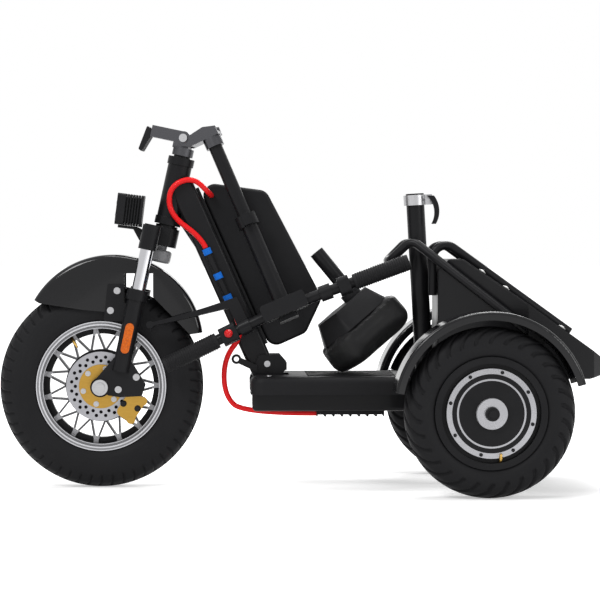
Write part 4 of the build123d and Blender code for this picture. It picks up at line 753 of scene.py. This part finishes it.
@dataclass
class Tyre:
    """A tyre with moulded tread grooves and sidewall ribs, in place of a plain solid."""

    node: str
    body: Body
    centre: Point
    radius: float
    bead_radius: float
    bead: float
    shoulder_drop: float
    shoulder_in: float
    half: float
    tread: Tread
    around: int = 720
    groove: float = 0.0034
    groove_edge: float = 0.0012
    plain_middle: float = 0.16
    groove_start: float = 0.08
    line_width: float = 0.0022
    line_edge: float = 0.001
    rib_height: float = 0.0006
    rib_pitch: float = 0.011
    wall_points: int = 22
    crown_points: int = 40

    def profile(self) -> tuple[np.ndarray, np.ndarray]:
        """The tyre's section from bead to bead.

        Returns:
            Points as radius and offset, and how far each lies across the tread, beyond one on the sidewalls.
        """
        shoulder_r = self.radius - self.shoulder_drop
        shoulder = self.half - self.shoulder_in
        belly = (self.bead_radius + self.radius) / 2
        wall = self.wall_points
        crown = self.crown_points
        left = arc_through((self.bead_radius, -self.bead), (belly, -self.half), (shoulder_r, -shoulder), wall)
        top = arc_through((shoulder_r, -shoulder), (self.radius, 0), (shoulder_r, shoulder), crown)
        right = arc_through((shoulder_r, shoulder), (belly, self.half), (self.bead_radius, self.bead), wall)
        points = np.vstack([left, top[1:], right[1:]])
        return points, points[:, 1] / shoulder

    def depth(self, angle: np.ndarray, across: np.ndarray, level: np.ndarray) -> np.ndarray:
        """How far the surface is cut in at each point.

        Args:
            angle: angles round the axle.
            across: places across the tread, from -1 to 1, more on the sidewalls.
            level: radii of the section.

        Returns:
            Depths in metres, negative where a rib stands out.
        """
        side = np.abs(across)
        style = self.tread.value
        tread = (level > self.radius - self.shoulder_drop * style.down).astype(float)
        pitch = 2 * pi / style.count
        lean = style.lean * side**style.sweep
        shift = np.where(across > 0, pitch / 2, 0.0)
        offset = np.abs((angle - lean - shift + pitch / 2) % pitch - pitch / 2) * self.radius
        reach = np.clip((side - self.plain_middle) / self.groove_start, 0, 1)
        cut = np.clip((style.width - offset) / self.groove_edge, 0, 1) * reach
        for line in style.lines:
            gap = np.abs(across - line) * (self.half - self.shoulder_in)
            cut = np.maximum(cut, np.clip((self.line_width - gap) / self.line_edge, 0, 1))
        wall = (1 - tread) * self.rib_height * np.sin(level * 2 * pi / self.rib_pitch) ** 8
        return cut * tread * self.groove - wall

    def build(self) -> Piece:
        """Makes the tyre and returns the piece that stands for its solid."""
        points, across = self.profile()
        slope = np.gradient(points, axis=0)
        normal = np.stack([slope[:, 1], -slope[:, 0]], axis=1)
        normal /= np.linalg.norm(normal, axis=1)[:, None]
        if normal[len(points) // 2, 0] < 0:
            normal = -normal
        angle = np.linspace(0, 2 * pi, self.around, endpoint=False)[:, None]
        cut = self.depth(angle, across[None, :], points[None, :, 0])
        radius = points[None, :, 0] - normal[None, :, 0] * cut
        offset = points[None, :, 1] - normal[None, :, 1] * cut
        x = self.centre[0] + radius * np.cos(angle)
        z = self.centre[2] + radius * np.sin(angle)
        where = np.stack([x, self.centre[1] + offset, z], axis=2)
        count = len(points)
        faces = []
        for i in range(self.around):
            here = i * count
            there = (i + 1) % self.around * count
            for k in range(count):
                beside = (k + 1) % count
                faces.append((here + k, here + beside, there + beside, there + k))
        mesh = bpy.data.meshes.new(self.node + "_treaded")
        mesh.from_pydata(where.reshape(-1, 3).tolist(), [], faces)
        tidy_normals(mesh)
        mesh.materials.append(finish(RUBBER))
        piece = add_piece(self.node + "_treaded", mesh, self.body)
        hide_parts(self.node)
        return piece


def tidy_normals(mesh: Mesh) -> None:
    """Merges doubles and turns a mesh's faces outwards."""
    work = bmesh.new()
    work.from_mesh(mesh)
    bmesh.ops.remove_doubles(work, verts=work.verts, dist=MERGE)
    bmesh.ops.recalc_face_normals(work, faces=work.faces)
    work.to_mesh(mesh)
    work.free()


def turned(name: str, outline: Sequence[Flat], base: Point, axis: Point, sides: int = 16) -> Mesh:
    """A closed round form, turned from an outline.

    Args:
        name: the mesh's name.
        outline: radius and height pairs from one end to the other, both on the axis.
        base: where the height is zero.
        axis: the direction of the height.
        sides: how many sides it has.

    Returns:
        The mesh.
    """
    work = bmesh.new()
    chain = [work.verts.new((r, 0, h)) for r, h in outline]
    edges = [work.edges.new(pair) for pair in zip(chain, chain[1:])]
    bmesh.ops.spin(
        work, geom=chain + edges, axis=UP, cent=(0, 0, 0), steps=sides, angle=2 * pi, use_merge=True
    )
    turn = Vector(axis).normalized().to_track_quat("Z", "Y").to_matrix().to_4x4()
    bmesh.ops.transform(work, matrix=Matrix.Translation(base) @ turn, verts=work.verts)
    mesh = bpy.data.meshes.new(name)
    work.to_mesh(mesh)
    work.free()
    tidy_normals(mesh)
    return mesh


def add_valve(name: str, body: Body, outline: Sequence[Flat], base: Point, axis: Point) -> None:
    """Sets a brass tyre valve on a wheel.

    Args:
        name: the piece's name.
        body: the wheel that it rides.
        outline: radius and height pairs from its foot to its tip.
        base: where the height is zero.
        axis: the way that it points.
    """
    mesh = turned(name, outline, base, axis)
    mesh.materials.append(finish(BRASS))
    add_piece(name, mesh, body)


@dataclass
class FrontWheel:
    """The front wheel's tyre, carrier bolts and valve."""

    centre: Point = FRONT_AXLE
    carrier_face: float = -0.0433
    bolt_circle: float = 0.037
    valve_from_axle: Point = (-0.062, -0.02, 0.0995)
    valve_way: Point = (0.53, -0.25, -0.85)
    valve: Sequence[Flat] = (
        (0.0, -0.001), (0.0032, -0.001), (0.0032, 0.018), (0.0022, 0.02), (0.0022, 0.026), (0.0, 0.0265),
    )

    def build(self) -> None:
        """Makes the wheel's pieces."""
        Tyre(
            "front_tyre", Body.FRONT_WHEEL, self.centre, radius=self.centre[2], bead_radius=0.126, bead=0.029,
            shoulder_drop=0.01, shoulder_in=0.012, half=0.04, tread=Tread.ROAD,
        ).build()
        face = (self.centre[0], self.carrier_face, self.centre[2])
        bolts = ring_of(face, self.bolt_circle, count=6, start=15)
        Fasteners("carrier_bolts", Body.FRONT_WHEEL, bolts, NEAR, 0.0042, 0.003).build()
        base = tuple(a + b for a, b in zip(self.centre, self.valve_from_axle))
        add_valve("front_valve", Body.FRONT_WHEEL, self.valve, base, self.valve_way)


@dataclass
class FrontMudguard:
    """The front mudguard with the long edges of its crown rounded, in place of the plain solid."""

    centre: Flat = (-0.376, 0.291)
    radius: float = 0.184
    half: float = 0.0478
    wall: float = 0.0025
    rounding: float = 0.012
    steps: int = 7
    close: float = 0.0002
    corner: float = 60.0
    level: float = 0.5
    crease: float = 30.0

    def crown_edges(self, work: bmesh.types.BMesh, inset: float) -> list[bmesh.types.BMEdge]:
        """The arcs where the crown meets the flanks.

        Args:
            work: the mudguard's mesh.
            inset: how far the arcs lie inside the outer faces.

        Returns:
            The edges of both arcs.
        """
        rim = set()
        for vert in work.verts:
            reach = ((vert.co.x - self.centre[0]) ** 2 + (vert.co.z - self.centre[1]) ** 2) ** 0.5
            on_arc = abs(reach - self.radius + inset) < self.close
            if on_arc and abs(abs(vert.co.y) - self.half + inset) < self.close:
                rim.add(vert)
        edges = [e for e in work.edges if set(e.verts) <= rim and e.verts[0].co.y * e.verts[1].co.y > 0]
        return [e for e in edges if e.calc_face_angle(0.0) > radians(self.corner)]

    def build(self) -> Piece:
        """Rounds the crown inside and out and returns the piece."""
        work = bmesh.new()
        work.from_mesh(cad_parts["front_mudguard"].data)
        bmesh.ops.remove_doubles(work, verts=work.verts, dist=MERGE)
        bmesh.ops.dissolve_limit(work, angle_limit=radians(self.level), verts=work.verts, edges=work.edges)
        for inset in (0.0, self.wall):
            edges = self.crown_edges(work, inset)
            LOG.info("front mudguard, %d crown edges at %.1f mm", len(edges), inset * 1000)
            bmesh.ops.bevel(
                work, geom=edges, offset=self.rounding - inset, offset_type="OFFSET", segments=self.steps,
                profile=0.5, affect="EDGES",
            )
        mesh = bpy.data.meshes.new("front_mudguard_crowned")
        work.to_mesh(mesh)
        work.free()
        mesh.materials.append(finish(GLOSS))
        piece = add_piece("front_mudguard_crowned", mesh, Body.FORK)
        mesh.set_sharp_from_angle(angle=radians(self.crease))
        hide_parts("front_mudguard")
        return piece


@dataclass
class RearWheel:
    """One rear wheel's tyre, motor cover screws and valve."""

    side: int
    body: Body
    half_track: float = 0.24
    cover_face: float = 0.0372
    screw_circle: float = 0.0825
    valve_from_axle: Point = (0.018, 0.03, -0.0955)
    valve_way: Point = (0.0, 0.6, 0.8)
    valve: Sequence[Flat] = (
        (0.0, -0.004), (0.0035, -0.004), (0.0035, 0.014), (0.0024, 0.0155), (0.0024, 0.021), (0.0, 0.0215),
    )

    def build(self) -> None:
        """Makes the wheel's pieces."""
        name = "left" if self.side < 0 else "right"
        x, y, z = REAR_AXLE[0], self.side * self.half_track, REAR_AXLE[2]
        Tyre(
            "rear_tyre_" + name, self.body, (x, y, z), radius=z, bead_radius=0.104, bead=0.0245,
            shoulder_drop=0.009, shoulder_in=0.011, half=0.04, tread=Tread.SWEPT, groove=0.0042,
        ).build()
        screws = ring_of((x, y + self.side * self.cover_face, z), self.screw_circle, count=8, start=30.5)
        Fasteners(
            "cover_screws_" + name, self.body, screws, (0, self.side, 0), 0.0026, 0.002,
            Head.DOME, DARK_SCREW, "black_metal",
        ).build()
        along, out, up = self.valve_from_axle
        base = (x + along, y + self.side * out, z + up)
        way = (self.valve_way[0], self.side * self.valve_way[1], self.valve_way[2])
        add_valve("rear_valve_" + name, self.body, self.valve, base, way)


@dataclass
class Lead:
    """Round leads on smooth lines, which the trike holds all the way."""

    name: str
    body: Body
    routes: Sequence[Sequence[Point]]
    diameter: float
    sleeve: Coating
    slot: str
    stands_for: str

    def line(self) -> Mesh:
        """The smooth lines that have the routes' points as control points, as bare edges."""
        curve = bpy.data.curves.new(self.name + "_line", "CURVE")
        curve.dimensions = "3D"
        for route in self.routes:
            spline = curve.splines.new("NURBS")
            spline.points.add(len(route) - 1)
            for spot, place in zip(spline.points, route):
                spot.co = (*place, 1.0)
            spline.order_u = 3
            spline.use_endpoint_u = True
            spline.resolution_u = 14
        holder = bpy.data.objects.new(self.name + "_line", curve)
        bpy.context.scene.collection.objects.link(holder)
        edges = plain_mesh(holder)
        bpy.data.objects.remove(holder)
        return edges

    def build(self) -> Piece:
        """Sweeps a round section along the lines and returns the piece."""
        tree = NodeTree(self.name + "_tree", {"Radius": ("NodeSocketFloat", 0.004)})
        path = tree.node("GeometryNodeMeshToCurve", Mesh=tree.start.outputs["Geometry"])
        radius = tree.start.outputs["Radius"]
        section = tree.node("GeometryNodeCurvePrimitiveCircle", Resolution=18, Radius=radius)
        tube = tree.node(
            "GeometryNodeCurveToMesh", Curve=path.outputs[0], Profile_Curve=section.outputs[0], Fill_Caps=True
        )
        tree.close(tube.outputs[0], finish(self.sleeve))
        mesh = tree.run(self.line(), {"Radius": self.diameter / 2})
        piece = add_piece(self.name, mesh, self.body)
        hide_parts(self.stands_for)
        return piece


# The red leads' corners, as in the CAD source: from the pack to the connector, and on to the controller box
RED_ROUTES = (
    (
        (-0.176, 0.0047, 0.596), (-0.176, -0.0335, 0.596), (-0.214, -0.0335, 0.634), (-0.262, -0.0335, 0.612),
        (-0.26, -0.0335, 0.555), (-0.1969, -0.0343, 0.5102), (-0.1872, -0.0343, 0.4883),
    ),
    (
        (-0.1389, -0.0343, 0.38), (-0.1292, -0.0343, 0.358), (-0.112, -0.036, 0.312), (-0.15, -0.038, 0.264),
        (-0.15, -0.04, 0.19), (-0.112, -0.042, 0.152), (0.0377, -0.042, 0.152),
    ),
)


@dataclass
class Trim:
    """Bolts, lamp cells and the bar's button."""

    tub_bolts: tuple[Point, ...] = ((0.369, 0.098, 0.44), (0.414, 0.124, 0.4076), (0.523, 0.148, 0.329))
    slope: Point = (0.585, 0.0, 0.811)
    deck_top: float = 0.23
    bracket_face: float = 0.0512
    foot_face: float = 0.0303
    dropout_face: float = -0.0735
    lamp_face: Point = (-0.3658, 0.0, 0.5689)
    lamp_out: Point = (-0.9925, 0.0, 0.1219)
    button_out: Point = (-0.0602, -0.988, 0.1413)
    button_reach: float = 0.021

    def build(self) -> None:
        """Sets the trim on the pieces that carry it."""
        both = [(x, y * side, z) for x, y, z in self.tub_bolts for side in (-1, 1)]
        Fasteners("tub_bolts", Body.CHASSIS, both, self.slope, 0.0055, 0.005, Head.DOME, WHITE).build()
        deck = [(x, y, self.deck_top) for x in (-0.06, 0.2) for y in (-0.098, 0.098)]
        Fasteners("deck_bolts", Body.CHASSIS, deck, UP, 0.0045, 0.003, Head.DOME).build()
        for name, way in (("near", NEAR), ("far", FAR)):
            bracket = way[1] * self.bracket_face
            spots = [(-0.3665, bracket, 0.402), (-0.38, bracket, 0.362)]
            Fasteners("bracket_bolts_" + name, Body.FORK, spots, way, 0.0052, 0.0045).build()
            foot = way[1] * self.foot_face
            spots = [(-0.062, foot, 0.252), (-0.046, foot, 0.214)]
            Fasteners("foot_bolts_" + name, Body.CHASSIS, spots, way, 0.0048, 0.004).build()
        bolts = [(-0.327, self.dropout_face, 0.228), (-0.3635, self.dropout_face, 0.203)]
        Fasteners("caliper_bolts", Body.FORK, bolts, NEAR, 0.0052, 0.0045).build()
        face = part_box("brake_caliper")[0][1]
        pins = [(-0.3535, face, 0.174), (-0.325, face, 0.164)]
        Fasteners(
            "caliper_pins", Body.FORK, pins, NEAR, 0.0048, 0.004, Head.DOME, DARK_SCREW, "black_metal"
        ).build()
        self.lamp_cells()
        self.button()

    def lamp_cells(self) -> None:
        """Sets two rows of lens cells in the lamp's recess."""
        rise = Vector(FAR).cross(Vector(self.lamp_out)) * -1
        middle = Vector(self.lamp_face)
        spots = [
            tuple(middle + Vector((0, y, 0)) + rise * z)
            for y in (-0.02, 0.0, 0.02)
            for z in (-0.0115, 0.0115)
        ]
        Fasteners(
            "lamp_cells", Body.FORK, spots, self.lamp_out, 0.0072, 0.0025, Head.DOME, CLEAR, "chrome"
        ).build()

    def button(self) -> None:
        """Sets the red button on the switch box's outer face."""
        low, high = (Vector(c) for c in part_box("switch_box"))
        place = tuple((low + high) / 2 + Vector(self.button_out) * self.button_reach)
        Fasteners(
            "stop_button", Body.BAR, [place], self.button_out, 0.0062, 0.006,
            Head.DOME, RED_BUTTON, "red_lead",
        ).build()


@dataclass
class Saddle:
    """The stowed saddle's padded cover."""

    voxel: float = 0.005
    pressure: float = 4.0
    cap: float = 0.004
    steps: int = 20
    shrink: float = 0.965
    smoothing: float = 0.5
    passes: int = 4

    def build(self) -> Piece:
        """Swells a copy of the cushion's solid as cloth and returns the piece that stands for it."""
        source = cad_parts["saddle_cushion"]
        mesh = source.data.copy()
        mesh.name = "saddle_cover"
        tidy_normals(mesh)
        low, high = (Vector(c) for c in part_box("saddle_cushion"))
        middle = (low + high) / 2
        smaller = Matrix.Scale(self.shrink, 4)
        mesh.transform(Matrix.Translation(middle) @ smaller @ Matrix.Translation(-middle))
        mesh.materials.clear()
        mesh.materials.append(finish(VINYL))
        piece = bpy.data.objects.new("saddle_cover", mesh)
        bpy.context.scene.collection.objects.link(piece)
        remesh = piece.modifiers.new("even", "REMESH")
        remesh.mode = "VOXEL"
        remesh.voxel_size = self.voxel
        piece.data = plain_mesh(piece)
        piece.modifiers.clear()
        start = np.array([v.co[:] for v in piece.data.vertices])
        self.swell(piece, start)
        even = piece.modifiers.new("smooth", "SMOOTH")
        even.factor = self.smoothing
        even.iterations = self.passes
        fine = piece.modifiers.new("fine", "SUBSURF")
        fine.levels = 1
        fine.render_levels = 1
        piece.data = plain_mesh(piece)
        piece.modifiers.clear()
        piece.data.polygons.foreach_set("use_smooth", [True] * len(piece.data.polygons))
        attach(piece, Body.CHASSIS.value)
        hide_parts("saddle_cushion")
        LOG.info("saddle cover, %d faces", len(piece.data.polygons))
        return piece

    def swell(self, piece: Piece, start: np.ndarray) -> None:
        """Runs the cloth and keeps each point within reach of where it began.

        Args:
            piece: the remeshed cushion.
            start: its points before the run.
        """
        cloth = piece.modifiers.new("swell", "CLOTH")
        cloth.settings.use_pressure = True
        cloth.settings.uniform_pressure_force = self.pressure
        cloth.settings.effector_weights.gravity = 0.0
        for step in range(1, self.steps + 1):
            bpy.context.scene.frame_set(step)
        swollen = plain_mesh(piece)
        piece.modifiers.clear()
        bpy.context.scene.frame_set(1)
        moved = np.array([v.co[:] for v in swollen.vertices]) - start
        reach = np.linalg.norm(moved, axis=1, keepdims=True)
        moved *= np.minimum(1.0, self.cap / np.maximum(reach, 1e-9))
        piece.data.vertices.foreach_set("co", (start + moved).ravel())


@dataclass
class GripRibs:
    """Moulded rings along both grips, set round the bar's ends."""

    radius: float = 0.0162
    wire: float = 0.0011
    count: int = 22
    margin: float = 0.008

    def build(self) -> None:
        """Makes the ribs of the left and right grips."""
        low, high = (Vector(c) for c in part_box("grips"))
        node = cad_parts["grips"]
        spots = np.array([v.co[:] for v in node.data.vertices])
        middle = (low.x + high.x) / 2
        for name, half in (("left", spots[spots[:, 0] < middle]), ("right", spots[spots[:, 0] >= middle])):
            centre = half.mean(axis=0)
            _, _, axes = np.linalg.svd(half - centre, full_matrices=False)
            along = axes[0]
            reach = (half - centre) @ along
            first = centre + along * (reach.min() + self.margin)
            last = centre + along * (reach.max() - self.margin)
            self.rings("grip_ribs_" + name, first, last)

    def rings(self, name: str, first: np.ndarray, last: np.ndarray) -> None:
        """Sets rings along a straight line.

        Args:
            name: the piece's name.
            first: the first ring's middle.
            last: the last ring's middle.
        """
        tree = NodeTree(
            name + "_tree",
            {
                "Count": ("NodeSocketInt", 20),
                "Ring": ("NodeSocketFloat", 0.016),
                "Wire": ("NodeSocketFloat", 0.001),
            },
        )
        count, ring, wire = (tree.start.outputs[t] for t in ("Count", "Ring", "Wire"))
        line = tree.node("GeometryNodeMeshToCurve", Mesh=tree.start.outputs["Geometry"])
        spots = tree.node("GeometryNodeCurveToPoints", Curve=line.outputs[0], Count=count)
        circle = tree.node("GeometryNodeCurvePrimitiveCircle", Resolution=28, Radius=ring)
        section = tree.node("GeometryNodeCurvePrimitiveCircle", Resolution=8, Radius=wire)
        hoop = tree.node("GeometryNodeCurveToMesh", Curve=circle.outputs[0], Profile_Curve=section.outputs[0])
        places = spots.outputs["Points"]
        turn = spots.outputs["Rotation"]
        rings = tree.node(
            "GeometryNodeInstanceOnPoints", Points=places, Instance=hoop.outputs[0], Rotation=turn
        )
        tree.close(rings.outputs[0], finish(GRIP_RUBBER))
        path = bpy.data.meshes.new(name + "_path")
        path.from_pydata([tuple(first), tuple(last)], [(0, 1)], [])
        mesh = tree.run(path, {"Count": self.count, "Ring": self.radius, "Wire": self.wire})
        add_piece(name, mesh, Body.BAR)


@dataclass
class Studio:
    """The floor, the lights and the camera."""

    eye: Point = (-0.151, -4.496, 0.5)
    target: Point = (0.006, 0.0, 0.3815)
    lens: float = 131.4
    sensor: float = 36.0
    ambient: float = 0.5
    own_white: float = 0.42
    floor_colour: Colour = (0.86, 0.86, 0.86)
    floor_reach: float = 40.0
    fade_from: float = 0.8
    fade_to: float = 2.2
    lamps: tuple[tuple[str, Point, float, float], ...] = (
        ("key", (-1.8, -2.2, 2.8), 1.1, 62.0),
        ("fill", (2.6, -2.6, 1.4), 1.3, 28.0),
        ("back", (0.6, 2.6, 2.2), 1.6, 52.0),
        ("top", (0.2, 0.1, 3.0), 1.5, 56.0),
    )

    def build(self) -> None:
        """Makes the studio."""
        self.floor()
        self.light()
        self.camera()

    def seen(self, tree: bpy.types.NodeTree) -> Socket:
        """One for rays from the camera, and for those that metal and glass send on.

        Args:
            tree: the node tree of the floor or the world.

        Returns:
            The value's socket.
        """
        rays = tree.nodes.new("ShaderNodeLightPath")
        total = rays.outputs["Is Camera Ray"]
        for name in ("Is Glossy Ray", "Is Transmission Ray"):
            most = tree.nodes.new("ShaderNodeMath")
            most.operation = "MAXIMUM"
            tree.links.new(total, most.inputs[0])
            tree.links.new(rays.outputs[name], most.inputs[1])
            total = most.outputs[0]
        return total

    def pale(self) -> Material:
        """The floor's finish: pale near the trike, where it keeps the shadow, and plain white further off."""
        material = bpy.data.materials.new("pale_floor")
        material.use_nodes = True
        tree = material.node_tree
        tree.nodes.clear()
        output = tree.nodes.new("ShaderNodeOutputMaterial")
        diffuse = tree.nodes.new("ShaderNodeBsdfDiffuse")
        diffuse.inputs["Color"].default_value = (*self.floor_colour, 1)
        place = tree.nodes.new("ShaderNodeTexCoord")
        reach = tree.nodes.new("ShaderNodeVectorMath")
        reach.operation = "LENGTH"
        tree.links.new(place.outputs["Object"], reach.inputs[0])
        fade = tree.nodes.new("ShaderNodeMapRange")
        fade.inputs["From Min"].default_value = self.fade_from
        fade.inputs["From Max"].default_value = self.fade_to
        fade.inputs["To Min"].default_value = self.own_white
        fade.inputs["To Max"].default_value = 1.0
        tree.links.new(reach.outputs["Value"], fade.inputs["Value"])
        shown = tree.nodes.new("ShaderNodeMath")
        shown.operation = "MULTIPLY"
        tree.links.new(self.seen(tree), shown.inputs[0])
        tree.links.new(fade.outputs[0], shown.inputs[1])
        glow = tree.nodes.new("ShaderNodeEmission")
        tree.links.new(shown.outputs[0], glow.inputs["Strength"])
        both = tree.nodes.new("ShaderNodeAddShader")
        tree.links.new(diffuse.outputs[0], both.inputs[0])
        tree.links.new(glow.outputs[0], both.inputs[1])
        tree.links.new(both.outputs[0], output.inputs["Surface"])
        return material

    def floor(self) -> None:
        """Lays the floor."""
        mesh = bpy.data.meshes.new("floor")
        reach = self.floor_reach
        corners = [(-reach, -reach, 0), (reach, -reach, 0), (reach, reach, 0), (-reach, reach, 0)]
        mesh.from_pydata(corners, [], [(0, 1, 2, 3)])
        mesh.materials.append(self.pale())
        floor = bpy.data.objects.new("floor", mesh)
        bpy.context.scene.collection.objects.link(floor)

    def light(self) -> None:
        """Lights the world and hangs the lamps."""
        world = bpy.data.worlds.new("studio")
        bpy.context.scene.world = world
        world.use_nodes = True
        tree = world.node_tree
        tree.nodes.clear()
        output = tree.nodes.new("ShaderNodeOutputWorld")
        soft = tree.nodes.new("ShaderNodeBackground")
        soft.inputs["Strength"].default_value = self.ambient
        white = tree.nodes.new("ShaderNodeBackground")
        white.inputs["Color"].default_value = (1, 1, 1, 1)
        pick = tree.nodes.new("ShaderNodeMixShader")
        tree.links.new(self.seen(tree), pick.inputs[0])
        tree.links.new(soft.outputs[0], pick.inputs[1])
        tree.links.new(white.outputs[0], pick.inputs[2])
        tree.links.new(pick.outputs[0], output.inputs["Surface"])
        for name, place, size, power in self.lamps:
            lamp = bpy.data.lights.new(name, "AREA")
            lamp.size = size
            lamp.energy = power
            self.hang(name, lamp, place)

    def hang(self, name: str, data: bpy.types.ID, place: Point) -> Piece:
        """Puts a lamp or a camera in the scene, aimed at the target.

        Args:
            name: the object's name.
            data: the lamp or the camera.
            place: where it hangs.

        Returns:
            The object.
        """
        holder = bpy.data.objects.new(name, data)
        holder.location = place
        aim = Vector(self.target) - Vector(place)
        holder.rotation_euler = aim.to_track_quat("-Z", "Y").to_euler()
        bpy.context.scene.collection.objects.link(holder)
        return holder

    def camera(self) -> None:
        """Sets the camera at the photograph's angle."""
        camera = bpy.data.cameras.new("camera")
        camera.lens = self.lens
        camera.sensor_width = self.sensor
        bpy.context.scene.camera = self.hang("camera", camera, self.eye)


def main() -> None:
    """Builds the scene in order."""
    logging.basicConfig(level=logging.INFO, format="%(message)s")
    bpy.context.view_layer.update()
    bpy.context.scene.view_settings.view_transform = "Standard"
    Studio().build()
    dress_nodes()
    FrontWheel().build()
    FrontMudguard().build()
    RearWheel(-1, Body.REAR_LEFT).build()
    RearWheel(1, Body.REAR_RIGHT).build()
    Saddle().build()
    GripRibs().build()
    Lead("red_leads_smooth", Body.CHASSIS, RED_ROUTES, 0.011, RED_SLEEVE, "red_lead", "red_leads").build()
    Trim().build()


if __name__ == "__main__":
    main()
